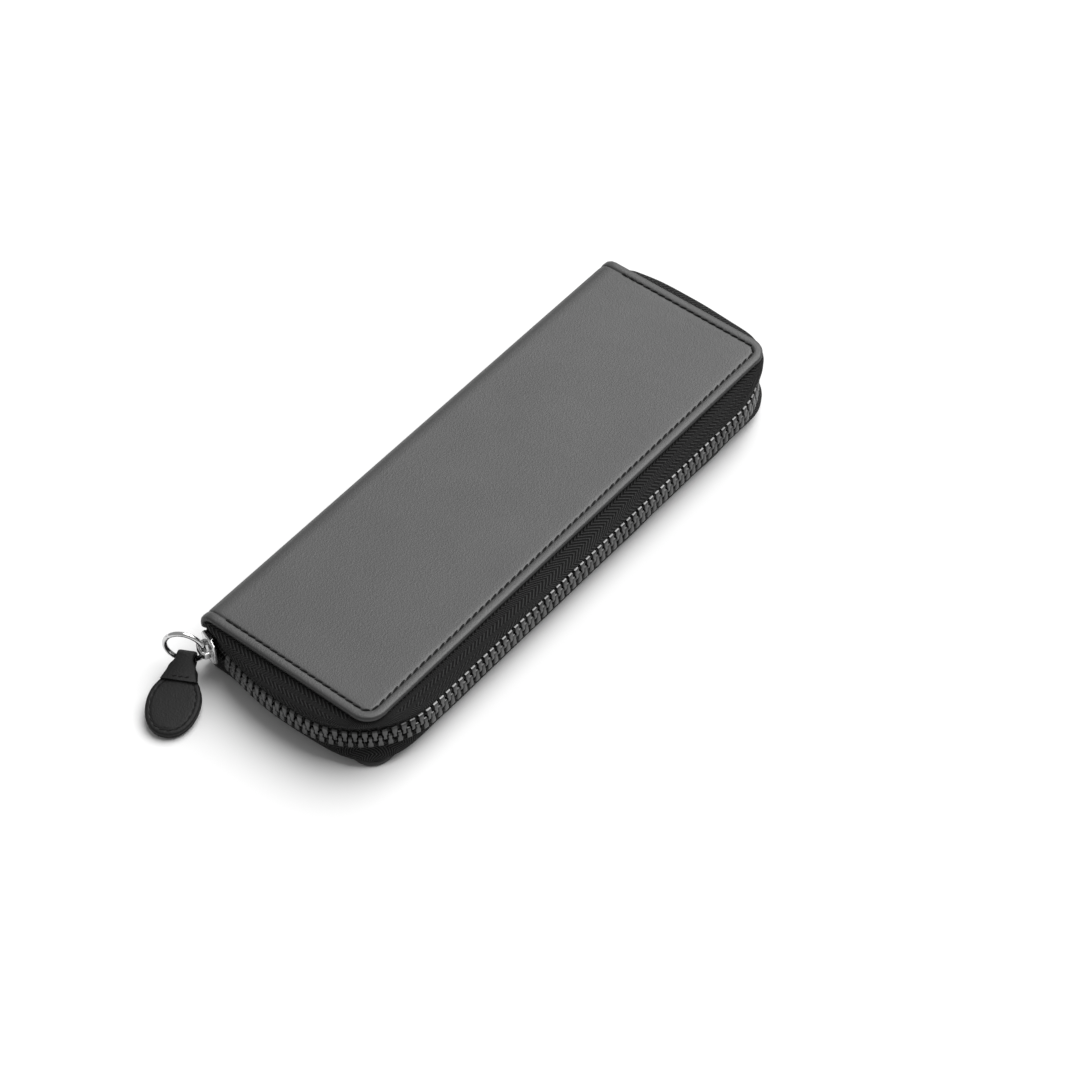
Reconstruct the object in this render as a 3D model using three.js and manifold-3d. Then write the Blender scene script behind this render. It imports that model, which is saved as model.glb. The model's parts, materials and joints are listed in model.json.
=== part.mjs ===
// A zip-round leather case for two fountain pens, lying closed on its bottom cover.
// Millimetres, +Z up. The origin is the centre of the bottom cover's underside, +Y runs along the
// length and +X from the spine to the zip's long side.

import * as THREE from "three";
import { mergeVertices } from "three/addons/utils/BufferGeometryUtils.js";
import Module from "manifold-3d";

const wasm = await Module();
wasm.setup();

// Driving dimensions
const CASE_LENGTH = 170;
const CASE_WIDTH = 60;
const CASE_HEIGHT = 21;
const CORNER_RADIUS = 6;
const LEATHER = 1.4;
const BOARD = 1.0;
const LINING = 0.5;
const LAYER_GAP = 0.15;
const PIECE_GAP = 0.3;
const BOARD_INSET = 8;
const LINING_INSET = 3;

// Spine: leather, board and lining standing upright between the covers
const SPINE_LEATHER = 1.3;
const SPINE_NOTCH = 6;
const SPINE_BOARD_END_INSET = 7;
const SPINE_BOARD_LOW = 4;
const SPINE_LINING_LOW = 3.6;

// Zip chain: a bowed near side, a corner, a straight long side, and the same again on the far side
const CHAIN_REACH_X = 33.6;
const CHAIN_REACH_Y = 89.5;
const CHAIN_CORNER_RADIUS = 24;
const BOW_RADIUS = 84;
const BOW_CENTRE_X = 3.5;
const CHAIN_END_ANGLE = 23;
const TAPE_END_ANGLE = 22.2;
const TOOTH_PITCH = 2.5;
const TOOTH_TIP_WIDTH = 0.5;
const TOOTH_HALF_THICKNESS = 1.2;
const TOOTH_TIP = 0.5;
const TOOTH_ROOT = 1.05;
const TOOTH_BAND = 1.4;
const TEETH_TO_SLIDER = 1.2;
const FAR_BARE_ANGLE = 3.2;
const TOP_STOP_DISTANCE = 0.45;
const TOP_STOP_HALF = 0.5;
const TOP_STOP_LOW = 1.2;
const TOP_STOP_HIGH = 3.2;
const BOTTOM_STOP_HALF_LENGTH = 0.9;
const BOTTOM_STOP_HALF_HEIGHT = 1.3;
const TEETH_TO_BOTTOM_STOP = 1.2;

// Zip tape, measured from the chain's middle line
const TAPE = 0.6;
const TAPE_BEAD = 0.45;
const BEAD_START = 1.6;
const BEAD_END = 2.4;
const TAPE_UPRIGHT = 4.8;
const TAPE_BULGE_HEIGHT = 6.8;
const TAPE_BULGE = 1.2;
const TAPE_SEAM_INSET = 1.2;
const TAPE_FLANGE_INSET = 7;
const TAPE_SPINE_X = -27;
const SHARPEST_SEAM_CORNER = 0.4;

// Slider and pull
const SLIDER_ANGLE = 20;
const SLIDER_HALF_LENGTH = 3.9;
const SLIDER_HALF_HEIGHT = 4.6;
const SLIDER_CHANNEL = 1.5;
const SLIDER_WALL = 1.1;
const SLIDER_TAIL_TAPER = 2;
const SLIDER_TAIL_RISE = 1.2;
const BRIDGE_LENGTH = 1.6;
const BRIDGE_HEIGHT = 1.8;
const BRIDGE_FROM_FRONT = 1.1;
const BRIDGE_BITE = 0.2;
const CROWN_PIVOT = 3.7;
const CROWN_HALF_LENGTH = 2.4;
const CROWN_REACH = 5.2;
const CROWN_CHAMFER = 0.6;
const CROWN_LEG = 0.9;
const CROWN_BAR = 0.65;
const CROWN_WIDTH = 2.2;
const CROWN_FOOT_GAP = 0.1;
const RING_RADIUS = 5.3;
const RING_WIRE = 1.4;
const RING_HEADING = 208.4;
const TAB_REACH = 23.3;
const TAB_WIDTH = 14.5;
const TAB_NECK_WIDTH = 5;
const TAB_THICKNESS = 2.4;
const TAB_SLOPE = 9;
const TAB_EYE_RADIUS = 1.45;
const TAB_EYE_WALL = 1.0;
const TAB_NECK_LENGTH = 3;
const TAB_WIDEST_AT = 13.5;

// Pen loops
const LOOP_BAND_WIDTH = 22;
const LOOP_BAND_Y = 48;
const LOOP_HALF_WIDTH = 8;
const LOOP_HEIGHT = 11.5;
const LOOP_ELASTIC = 0.9;
const LOOP_CENTRE_X = 11.5;
const LOOP_FOOT = 3;

// Slip pocket on the top cover's lining
const POCKET_HALF_WIDTH = 22;
const POCKET_HALF_LENGTH = 60;
const POCKET_CLOTH = 0.6;
const POCKET_BINDING_WIDTH = 4;

const halfLength = CASE_LENGTH / 2;
const halfWidth = CASE_WIDTH / 2;
const middle = CASE_HEIGHT / 2;
const liningFace = LEATHER + BOARD + LINING + 2 * LAYER_GAP;
const radians = THREE.MathUtils.degToRad;

const finish = {
  leather: new THREE.MeshStandardMaterial({ color: 0x4a4a4c, roughness: 0.62 }),
  board: new THREE.MeshStandardMaterial({ color: 0x8b8378, roughness: 0.9 }),
  lining: new THREE.MeshStandardMaterial({ color: 0x1f1f21, roughness: 0.95 }),
  tape: new THREE.MeshStandardMaterial({ color: 0x161617, roughness: 0.9 }),
  teeth: new THREE.MeshStandardMaterial({ color: 0x55565a, roughness: 0.4, metalness: 1 }),
  nickel: new THREE.MeshStandardMaterial({ color: 0xc9cacd, roughness: 0.15, metalness: 1 }),
  elastic: new THREE.MeshStandardMaterial({ color: 0x121213, roughness: 0.95 }),
};

const caseGroup = new THREE.Group();

function add(name, geometry, material, parent = caseGroup) {
  const mesh = new THREE.Mesh(geometry, material);
  mesh.name = name;
  parent.add(mesh);
  return mesh;
}

// A three.js geometry as a manifold solid, and back
function solid(geometry) {
  const bare = geometry.clone();
  bare.deleteAttribute("normal");
  bare.deleteAttribute("uv");
  const merged = mergeVertices(bare, 1e-4);
  return new wasm.Manifold(
    new wasm.Mesh({
      numProp: 3,
      vertProperties: merged.attributes.position.array,
      triVerts: new Uint32Array(merged.index.array),
    }),
  );
}

function geometryOf(manifold) {
  const mesh = manifold.getMesh();
  const geometry = new THREE.BufferGeometry();
  geometry.setAttribute("position", new THREE.BufferAttribute(mesh.vertProperties, 3));
  geometry.setIndex(new THREE.BufferAttribute(mesh.triVerts, 1));
  geometry.computeVertexNormals();
  return geometry;
}

// The same shape on the other side of the case's middle plane
function turnedOver(geometry) {
  const turned = geometry.clone();
  turned.applyMatrix4(new THREE.Matrix4().makeScale(1, 1, -1).setPosition(0, 0, CASE_HEIGHT));
  const index = turned.index.array;
  for (let i = 0; i < index.length; i += 3) {
    const kept = index[i];
    index[i] = index[i + 1];
    index[i + 1] = kept;
  }
  return turned;
}

function indexed(geometry) {
  const bare = geometry.clone();
  bare.deleteAttribute("normal");
  bare.deleteAttribute("uv");
  return mergeVertices(bare, 1e-4);
}

// A closed solid through a row of rings, each with the same number of corners, with flat ends
function loft(rings, section) {
  const corners = rings[0].length;
  const positions = rings.flat().flatMap((p) => [p.x, p.y, p.z]);
  const faces = [];
  for (let r = 0; r + 1 < rings.length; r++) {
    for (let c = 0; c < corners; c++) {
      const here = r * corners + c;
      const beside = r * corners + ((c + 1) % corners);
      faces.push(here, beside, here + corners);
      faces.push(beside, beside + corners, here + corners);
    }
  }
  const last = (rings.length - 1) * corners;
  const turn = Math.sign(THREE.ShapeUtils.area(section));
  for (const triangle of THREE.ShapeUtils.triangulateShape(section, [])) {
    const sameTurn = Math.sign(THREE.ShapeUtils.area(triangle.map((k) => section[k]))) === turn;
    const [a, b, c] = sameTurn ? triangle : [...triangle].reverse();
    faces.push(a, c, b);
    faces.push(last + a, last + b, last + c);
  }
  const geometry = new THREE.BufferGeometry();
  geometry.setAttribute("position", new THREE.Float32BufferAttribute(positions, 3));
  geometry.setIndex(faces);
  geometry.computeVertexNormals();
  return geometry;
}

function extruded(shape, depth, start, curveSegments = 8) {
  const geometry = new THREE.ExtrudeGeometry(shape, { depth, bevelEnabled: false, curveSegments });
  return geometry.translate(0, 0, start);
}

function polygon(points) {
  return new THREE.Shape(points.map(([x, y]) => new THREE.Vector2(x, y)));
}

// The covers' outline: square at the spine and round at the two zip corners
function coverOutline(inset, spineX) {
  const right = halfWidth - inset;
  const end = halfLength - inset;
  const radius = CORNER_RADIUS - inset;
  const shape = new THREE.Shape();
  shape.moveTo(spineX, -end);
  if (radius > 0) {
    shape.lineTo(right - radius, -end);
    shape.absarc(right - radius, -end + radius, radius, -Math.PI / 2, 0, false);
    shape.absarc(right - radius, end - radius, radius, 0, Math.PI / 2, false);
  } else {
    shape.lineTo(right, -end);
    shape.lineTo(right, end);
  }
  shape.lineTo(spineX, end);
  return shape;
}

// Covers: leather outside, a stiffening board, and a lining
function addCover(side, place) {
  const leather = extruded(coverOutline(0, -halfWidth), LEATHER, 0);
  const boardOutline = coverOutline(BOARD_INSET, -halfWidth + LEATHER + PIECE_GAP);
  const board = extruded(boardOutline, BOARD, LEATHER + LAYER_GAP);
  const liningOutline = coverOutline(LINING_INSET, -halfWidth + liningFace + LAYER_GAP);
  const lining = extruded(liningOutline, LINING, liningFace - LINING);
  add(`${side}_cover_leather`, place(indexed(leather)), finish.leather);
  add(`${side}_stiffener_board`, place(indexed(board)), finish.board);
  add(`${side}_lining`, place(indexed(lining)), finish.lining);
}

// A spine layer stands upright; its ends may be notched so that the zip's ends tuck in
function spineLayer(outerX, thickness, halfY, lowZ, notch) {
  const highZ = CASE_HEIGHT - lowZ;
  const notchLow = middle - SLIDER_HALF_HEIGHT - 2 * PIECE_GAP;
  const notchHigh = CASE_HEIGHT - notchLow;
  const innerY = halfY - notch;
  const farNotch = [[halfY, notchLow], [innerY, notchLow], [innerY, notchHigh], [halfY, notchHigh]];
  const nearNotch = farNotch.map(([y, z]) => [-y, z]).reverse();
  const outline = polygon([
    [-halfY, lowZ],
    [halfY, lowZ],
    ...(notch ? farNotch : []),
    [halfY, highZ],
    [-halfY, highZ],
    ...(notch ? nearNotch : []),
  ]);
  // The outline's axes are the case's Y and Z, and its depth runs along X
  const axes = new THREE.Matrix4().makeBasis(
    new THREE.Vector3(0, 1, 0),
    new THREE.Vector3(0, 0, 1),
    new THREE.Vector3(1, 0, 0),
  );
  return extruded(outline, thickness, outerX).applyMatrix4(axes);
}

function addSpine() {
  const leatherLow = LEATHER + PIECE_GAP;
  const boardX = -halfWidth + SPINE_LEATHER + LAYER_GAP;
  const liningX = boardX + BOARD + LAYER_GAP;
  const boardHalfY = halfLength - SPINE_BOARD_END_INSET;
  const leather = spineLayer(-halfWidth, SPINE_LEATHER, halfLength, leatherLow, SPINE_NOTCH);
  const board = spineLayer(boardX, BOARD, boardHalfY, SPINE_BOARD_LOW, 0);
  const lining = spineLayer(liningX, LINING, boardHalfY, SPINE_LINING_LOW, 0);
  add("spine_leather", leather, finish.leather);
  add("spine_stiffener_board", board, finish.board);
  add("spine_lining", lining, finish.lining);
}

// The chain's route and the covers' seam are each five stretches, so their points pair up
function arc(centreX, centreY, radius, fromDegrees, toDegrees) {
  const from = radians(fromDegrees);
  const to = radians(toDegrees);
  return new THREE.EllipseCurve(centreX, centreY, radius, radius, from, to, false, 0);
}

function line(fromX, fromY, toX, toY) {
  return new THREE.LineCurve(new THREE.Vector2(fromX, fromY), new THREE.Vector2(toX, toY));
}

const bowCentreY = BOW_RADIUS - CHAIN_REACH_Y;
const cornerCentreX = CHAIN_REACH_X - CHAIN_CORNER_RADIUS;
const cornerOffset = cornerCentreX - BOW_CENTRE_X;
const centreDistance = BOW_RADIUS - CHAIN_CORNER_RADIUS;
const cornerCentreY = bowCentreY - Math.sqrt(centreDistance ** 2 - cornerOffset ** 2);
const cornerStart = THREE.MathUtils.radToDeg(Math.asin(cornerOffset / centreDistance));

function zipRoute(endAngle) {
  return [
    arc(BOW_CENTRE_X, bowCentreY, BOW_RADIUS, -90 - endAngle, -90 + cornerStart),
    arc(cornerCentreX, cornerCentreY, CHAIN_CORNER_RADIUS, -90 + cornerStart, 0),
    line(CHAIN_REACH_X, cornerCentreY, CHAIN_REACH_X, -cornerCentreY),
    arc(cornerCentreX, -cornerCentreY, CHAIN_CORNER_RADIUS, 0, 90 - cornerStart),
    arc(BOW_CENTRE_X, -bowCentreY, BOW_RADIUS, 90 - cornerStart, 90 + endAngle),
  ];
}

function seamRoute(inset) {
  const x = halfWidth - inset;
  const y = halfLength - inset;
  const radius = Math.max(CORNER_RADIUS - inset, SHARPEST_SEAM_CORNER);
  return [
    line(TAPE_SPINE_X, -y, x - radius, -y),
    arc(x - radius, -y + radius, radius, -90, 0),
    line(x, -y + radius, x, y - radius),
    arc(x - radius, y - radius, radius, 0, 90),
    line(x - radius, y, TAPE_SPINE_X, y),
  ];
}

const STRETCH_STEPS = [6, 5, 1, 5, 6];

// Points along a route with the outward direction at each
function stations(route) {
  const found = [];
  route.forEach((curve, stretch) => {
    const steps = STRETCH_STEPS[stretch];
    const first = stretch === 0 ? 0 : 1;
    for (let i = first; i <= steps; i++) {
      const tangent = curve.getTangentAt(i / steps);
      found.push({
        point: curve.getPointAt(i / steps),
        outward: new THREE.Vector2(tangent.y, -tangent.x).normalize(),
      });
    }
  });
  return found;
}

function raised(place, offset, height) {
  const moved = place.point.clone().addScaledVector(place.outward, offset);
  return new THREE.Vector3(moved.x, moved.y, height);
}

// Upper zip tape: sewn flat under the cover's edge, then bulging out and down to the chain
function upperTape() {
  const chain = stations(zipRoute(TAPE_END_ANGLE));
  const seam = stations(seamRoute(TAPE_SEAM_INSET));
  const flange = stations(seamRoute(TAPE_FLANGE_INSET));
  const flangeTop = CASE_HEIGHT - LEATHER - LAYER_GAP;
  const half = TAPE / 2;
  const rings = chain.map((at, i) => {
    const between = {
      point: seam[i].point.clone().lerp(at.point, 0.5),
      outward: at.outward,
    };
    return [
      raised(flange[i], 0, flangeTop),
      raised(seam[i], 0, flangeTop),
      raised(between, TAPE_BULGE, middle + TAPE_BULGE_HEIGHT),
      raised(at, half, middle + TAPE_UPRIGHT),
      raised(at, half, middle + BEAD_END + PIECE_GAP),
      raised(at, TAPE_BEAD, middle + BEAD_END),
      raised(at, TAPE_BEAD, middle + BEAD_START),
      raised(at, -TAPE_BEAD, middle + BEAD_START),
      raised(at, -TAPE_BEAD, middle + BEAD_END),
      raised(at, -half, middle + BEAD_END + PIECE_GAP),
      raised(at, -half, middle + TAPE_UPRIGHT),
      raised(between, TAPE_BULGE - TAPE, middle + TAPE_BULGE_HEIGHT),
      raised(seam[i], -TAPE, flangeTop - TAPE),
      raised(flange[i], 0, flangeTop - TAPE),
    ];
  });
  // The first stretch faces almost straight out along -Y, so its ring shows the tape's section
  const section = rings[3].map((p) => new THREE.Vector2(-p.y, p.z));
  return loft(rings, section);
}

// Where the chain is at a distance along its route
const chainRoute = zipRoute(CHAIN_END_ANGLE);
const routeLengths = chainRoute.map((curve) => curve.getLength());
const chainLength = routeLengths.reduce((sum, length) => sum + length, 0);

function chainAt(distance) {
  let left = distance;
  let stretch = 0;
  while (stretch < chainRoute.length - 1 && left > routeLengths[stretch]) {
    left -= routeLengths[stretch];
    stretch += 1;
  }
  const share = Math.min(Math.max(left / routeLengths[stretch], 0), 1);
  const tangent = chainRoute[stretch].getTangentAt(share);
  return {
    point: chainRoute[stretch].getPointAt(share),
    outward: new THREE.Vector2(tangent.y, -tangent.x).normalize(),
  };
}

// A row of teeth on their cord: a comb bent along the chain, its teeth pointing down
function teethRow(first, last, shift) {
  const positions = [];
  const faces = [];
  const corner = (distance, offset, height) => {
    const p = raised(chainAt(distance), offset, height);
    positions.push(p.x, p.y, p.z);
    return positions.length / 3 - 1;
  };
  // Each cut across the comb has an inner and an outer corner
  const column = (distance, height) => ({
    inner: corner(distance, -TOOTH_HALF_THICKNESS, height),
    outer: corner(distance, TOOTH_HALF_THICKNESS, height),
  });
  const quad = (a, b, c, d) => faces.push(a, b, c, a, c, d);
  let before = null;
  for (let tooth = first; tooth <= last; tooth++) {
    const centre = (tooth + shift) * TOOTH_PITCH;
    const start = centre - TOOTH_PITCH / 2;
    const end = centre + TOOTH_PITCH / 2;
    const root = before ? before.root : column(start, middle + TOOTH_ROOT);
    const top = before ? before.top : column(start, middle + TOOTH_BAND);
    const tipStart = column(centre - TOOTH_TIP_WIDTH / 2, middle - TOOTH_TIP);
    const tipEnd = column(centre + TOOTH_TIP_WIDTH / 2, middle - TOOTH_TIP);
    const nextRoot = column(end, middle + TOOTH_ROOT);
    const nextTop = column(end, middle + TOOTH_BAND);
    quad(root.outer, nextRoot.outer, nextTop.outer, top.outer);
    quad(root.inner, top.inner, nextTop.inner, nextRoot.inner);
    quad(root.outer, tipStart.outer, tipEnd.outer, nextRoot.outer);
    quad(root.inner, nextRoot.inner, tipEnd.inner, tipStart.inner);
    quad(top.outer, nextTop.outer, nextTop.inner, top.inner);
    quad(root.outer, root.inner, tipStart.inner, tipStart.outer);
    quad(tipStart.outer, tipStart.inner, tipEnd.inner, tipEnd.outer);
    quad(tipEnd.outer, tipEnd.inner, nextRoot.inner, nextRoot.outer);
    if (tooth === first) quad(root.inner, root.outer, top.outer, top.inner);
    if (tooth === last) quad(nextRoot.outer, nextRoot.inner, nextTop.inner, nextTop.outer);
    before = { root: nextRoot, top: nextTop };
  }
  const geometry = new THREE.BufferGeometry();
  geometry.setAttribute("position", new THREE.Float32BufferAttribute(positions, 3));
  geometry.setIndex(faces);
  geometry.computeVertexNormals();
  return geometry;
}

// Distances along the chain at which the slider lies, and the numbers of its first and last teeth
const degreeOfBow = radians(1) * BOW_RADIUS;
const sliderDistance = (CHAIN_END_ANGLE - SLIDER_ANGLE) * degreeOfBow;
const teethStart = sliderDistance + SLIDER_HALF_LENGTH + TEETH_TO_SLIDER;
const teethEnd = chainLength - FAR_BARE_ANGLE * degreeOfBow;
const nearSideEnd = (CHAIN_END_ANGLE + cornerStart) * degreeOfBow;
const firstTooth = Math.ceil(teethStart / TOOTH_PITCH + 0.5);
const lastNearTooth = Math.floor(nearSideEnd / TOOTH_PITCH) - 1;
const lastTooth = Math.floor(teethEnd / TOOTH_PITCH) - 1;

// A small block on the chain line, such as a stop
function chainBlock(distance, halfAlong, halfThickness, lowZ, highZ) {
  const at = chainAt(distance);
  const along = new THREE.Vector3(-at.outward.y, at.outward.x, 0);
  const out = new THREE.Vector3(at.outward.x, at.outward.y, 0);
  const block = new THREE.BoxGeometry(2 * halfAlong, 2 * halfThickness, highZ - lowZ);
  const turn = new THREE.Matrix4().makeBasis(along, out.negate(), new THREE.Vector3(0, 0, 1));
  turn.setPosition(at.point.x, at.point.y, (lowZ + highZ) / 2);
  return block.applyMatrix4(turn);
}

// The lower rows sit half a tooth along from the upper ones, and the long rows a gap from the near ones
function addZip() {
  const tape = upperTape();
  add("upper_zip_tape", tape, finish.tape);
  add("lower_zip_tape", turnedOver(tape), finish.tape);
  const halfTooth = -0.5;
  const rowGap = PIECE_GAP / TOOTH_PITCH;
  const longStart = lastNearTooth + 1;
  add("upper_zip_teeth_near", teethRow(firstTooth, lastNearTooth, 0), finish.teeth);
  add("upper_zip_teeth_long", teethRow(longStart, lastTooth, rowGap), finish.teeth);
  const lowerNear = teethRow(firstTooth, lastNearTooth, halfTooth);
  const lowerLong = teethRow(longStart, lastTooth, halfTooth + rowGap);
  add("lower_zip_teeth_near", turnedOver(lowerNear), finish.teeth);
  add("lower_zip_teeth_long", turnedOver(lowerLong), finish.teeth);
  const topStop = chainBlock(
    TOP_STOP_DISTANCE,
    TOP_STOP_HALF,
    TOP_STOP_HALF,
    middle + TOP_STOP_LOW,
    middle + TOP_STOP_HIGH,
  );
  add("upper_top_stop", topStop, finish.nickel);
  add("lower_top_stop", turnedOver(topStop), finish.nickel);
  const bottomStop = chainBlock(
    (lastTooth + 1) * TOOTH_PITCH + TEETH_TO_BOTTOM_STOP,
    BOTTOM_STOP_HALF_LENGTH,
    TOOTH_HALF_THICKNESS,
    middle - BOTTOM_STOP_HALF_HEIGHT,
    middle + BOTTOM_STOP_HALF_HEIGHT,
  );
  add("zip_bottom_stop", bottomStop, finish.nickel);
}

// Slider: two plates joined by a bridge at its front, with a crown on the outer plate.
// In its own frame +X runs back along the chain, -Y points out of the case and Z is up.
function sliderPlate(inner, outer) {
  const tailX = SLIDER_HALF_LENGTH - SLIDER_TAIL_TAPER;
  const tailZ = SLIDER_HALF_HEIGHT - SLIDER_TAIL_RISE;
  const outline = polygon([
    [-SLIDER_HALF_LENGTH, -SLIDER_HALF_HEIGHT],
    [tailX, -SLIDER_HALF_HEIGHT],
    [SLIDER_HALF_LENGTH, -tailZ],
    [SLIDER_HALF_LENGTH, tailZ],
    [tailX, SLIDER_HALF_HEIGHT],
    [-SLIDER_HALF_LENGTH, SLIDER_HALF_HEIGHT],
  ]);
  return extruded(outline, outer - inner, inner).rotateX(Math.PI / 2);
}

function sliderBody() {
  const outerPlate = sliderPlate(SLIDER_CHANNEL, SLIDER_CHANNEL + SLIDER_WALL);
  const innerPlate = sliderPlate(-SLIDER_CHANNEL - SLIDER_WALL, -SLIDER_CHANNEL);
  const bridgeDepth = 2 * (SLIDER_CHANNEL + BRIDGE_BITE);
  const bridge = new THREE.BoxGeometry(BRIDGE_LENGTH, bridgeDepth, BRIDGE_HEIGHT);
  bridge.translate(-SLIDER_HALF_LENGTH + BRIDGE_FROM_FRONT, 0, 0);
  return geometryOf(solid(outerPlate).add(solid(innerPlate)).add(solid(bridge)));
}

function sliderCrown() {
  const foot = SLIDER_CHANNEL + SLIDER_WALL + CROWN_FOOT_GAP;
  const half = CROWN_HALF_LENGTH;
  const window = half - CROWN_LEG;
  const outline = polygon([
    [-half, -foot],
    [-half, -CROWN_REACH + CROWN_CHAMFER],
    [-half + CROWN_CHAMFER, -CROWN_REACH],
    [half - CROWN_CHAMFER, -CROWN_REACH],
    [half, -CROWN_REACH + CROWN_CHAMFER],
    [half, -foot],
    [window, -foot],
    [window, -CROWN_REACH + CROWN_BAR],
    [-window, -CROWN_REACH + CROWN_BAR],
    [-window, -foot],
  ]);
  return extruded(outline, CROWN_WIDTH, -CROWN_WIDTH / 2);
}

// A closed ring of wire, lying in its own XZ plane
function pullRing() {
  return new THREE.TorusGeometry(RING_RADIUS, RING_WIRE / 2, 8, 32).rotateX(Math.PI / 2);
}

// The leather tab hangs along its own +X from the middle of its eye; its eye's axis is Y
function tabOutline() {
  const half = TAB_WIDTH / 2;
  const neck = TAB_NECK_WIDTH / 2;
  const flare = neck + 1.2;
  const tip = 0.62 * half;
  const shape = new THREE.Shape();
  shape.moveTo(0, -neck);
  shape.lineTo(TAB_NECK_LENGTH, -neck);
  shape.bezierCurveTo(6, -flare, 8, -half, TAB_WIDEST_AT, -half);
  shape.bezierCurveTo(19, -half, TAB_REACH, -tip, TAB_REACH, 0);
  shape.bezierCurveTo(TAB_REACH, tip, 19, half, TAB_WIDEST_AT, half);
  shape.bezierCurveTo(8, half, 6, flare, TAB_NECK_LENGTH, neck);
  shape.lineTo(0, neck);
  return shape;
}

function pullTab() {
  const blade = extruded(tabOutline(), TAB_THICKNESS, -TAB_THICKNESS / 2, 6);
  const wall = TAB_EYE_RADIUS + TAB_EYE_WALL;
  const barrel = new THREE.CylinderGeometry(wall, wall, TAB_NECK_WIDTH, 20);
  const hole = new THREE.CylinderGeometry(TAB_EYE_RADIUS, TAB_EYE_RADIUS, TAB_NECK_WIDTH + 2, 16);
  return geometryOf(solid(blade).add(solid(barrel)).subtract(solid(hole)));
}

// The slider sits on the bowed near side, its ring through the crown, its tab on the ring
function addPull() {
  const slider = new THREE.Group();
  const at = chainAt(sliderDistance);
  slider.position.set(at.point.x, at.point.y, middle);
  slider.rotation.z = Math.atan2(at.outward.x, -at.outward.y);
  caseGroup.add(slider);
  add("slider_body", sliderBody(), finish.nickel, slider);
  add("slider_crown", sliderCrown(), finish.nickel, slider);
  const ring = new THREE.Group();
  ring.position.set(
    at.point.x + CROWN_PIVOT * at.outward.x,
    at.point.y + CROWN_PIVOT * at.outward.y,
    middle,
  );
  ring.rotation.z = radians(RING_HEADING);
  caseGroup.add(ring);
  const wire = add("pull_ring", pullRing(), finish.nickel, ring);
  wire.position.x = RING_RADIUS;
  const tab = new THREE.Group();
  tab.position.set(RING_RADIUS, 0, -RING_RADIUS);
  tab.rotation.set(0, 0, Math.PI / 2);
  ring.add(tab);
  const leather = add("pull_tab", pullTab(), finish.leather, tab);
  leather.rotation.y = radians(TAB_SLOPE);
}

function rectangle(fromX, toX, halfY) {
  return polygon([[fromX, -halfY], [toX, -halfY], [toX, halfY], [fromX, halfY]]);
}

// A slip pocket on the top cover's lining, with a bound mouth
function addPocket() {
  const panel = rectangle(-POCKET_HALF_WIDTH, POCKET_HALF_WIDTH, POCKET_HALF_LENGTH);
  const mouthX = POCKET_HALF_WIDTH - POCKET_BINDING_WIDTH;
  const mouth = rectangle(mouthX, POCKET_HALF_WIDTH, POCKET_HALF_LENGTH);
  const panelFace = liningFace + PIECE_GAP;
  const cloth = extruded(panel, POCKET_CLOTH, panelFace);
  const binding = extruded(mouth, POCKET_CLOTH, panelFace + POCKET_CLOTH + LAYER_GAP);
  add("slip_pocket", turnedOver(indexed(cloth)), finish.lining);
  add("pocket_binding", turnedOver(indexed(binding)), finish.leather);
}

// Pen loops: one elastic band sewn down at three places, which leaves two arches
function loopBand() {
  const arches = [-LOOP_CENTRE_X, LOOP_CENTRE_X];
  const base = liningFace + LAYER_GAP;
  const steps = 10;
  const outer = [];
  const inner = [];
  for (const x of arches) {
    for (let i = 0; i <= steps; i++) {
      const turn = Math.PI * (1 - i / steps);
      outer.push([
        x + (LOOP_HALF_WIDTH + LOOP_ELASTIC) * Math.cos(turn),
        base + LOOP_ELASTIC + LOOP_HEIGHT * Math.sin(turn),
      ]);
      inner.push([
        x + LOOP_HALF_WIDTH * Math.cos(turn),
        base + LOOP_HEIGHT * Math.sin(turn),
      ]);
    }
  }
  const end = LOOP_CENTRE_X + LOOP_HALF_WIDTH + LOOP_ELASTIC + LOOP_FOOT;
  const outline = [[-end, base], ...inner, [end, base]];
  outline.push([end, base + LOOP_ELASTIC], ...outer.reverse(), [-end, base + LOOP_ELASTIC]);
  // The outline's axes are the case's X and Z, and its depth runs along Y
  const axes = new THREE.Matrix4().makeBasis(
    new THREE.Vector3(1, 0, 0),
    new THREE.Vector3(0, 0, 1),
    new THREE.Vector3(0, -1, 0),
  );
  const band = extruded(polygon(outline), LOOP_BAND_WIDTH, -LOOP_BAND_WIDTH / 2);
  return band.applyMatrix4(axes);
}

addCover("bottom", (geometry) => geometry);
addCover("top", turnedOver);
addSpine();
addZip();
add("near_pen_loops", loopBand().translate(0, -LOOP_BAND_Y, 0), finish.elastic);
add("far_pen_loops", loopBand().translate(0, LOOP_BAND_Y, 0), finish.elastic);
addPocket();
addPull();

export default caseGroup;
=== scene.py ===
import json
import math

import bmesh
import bpy
from mathutils import Matrix, Vector, noise


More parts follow.
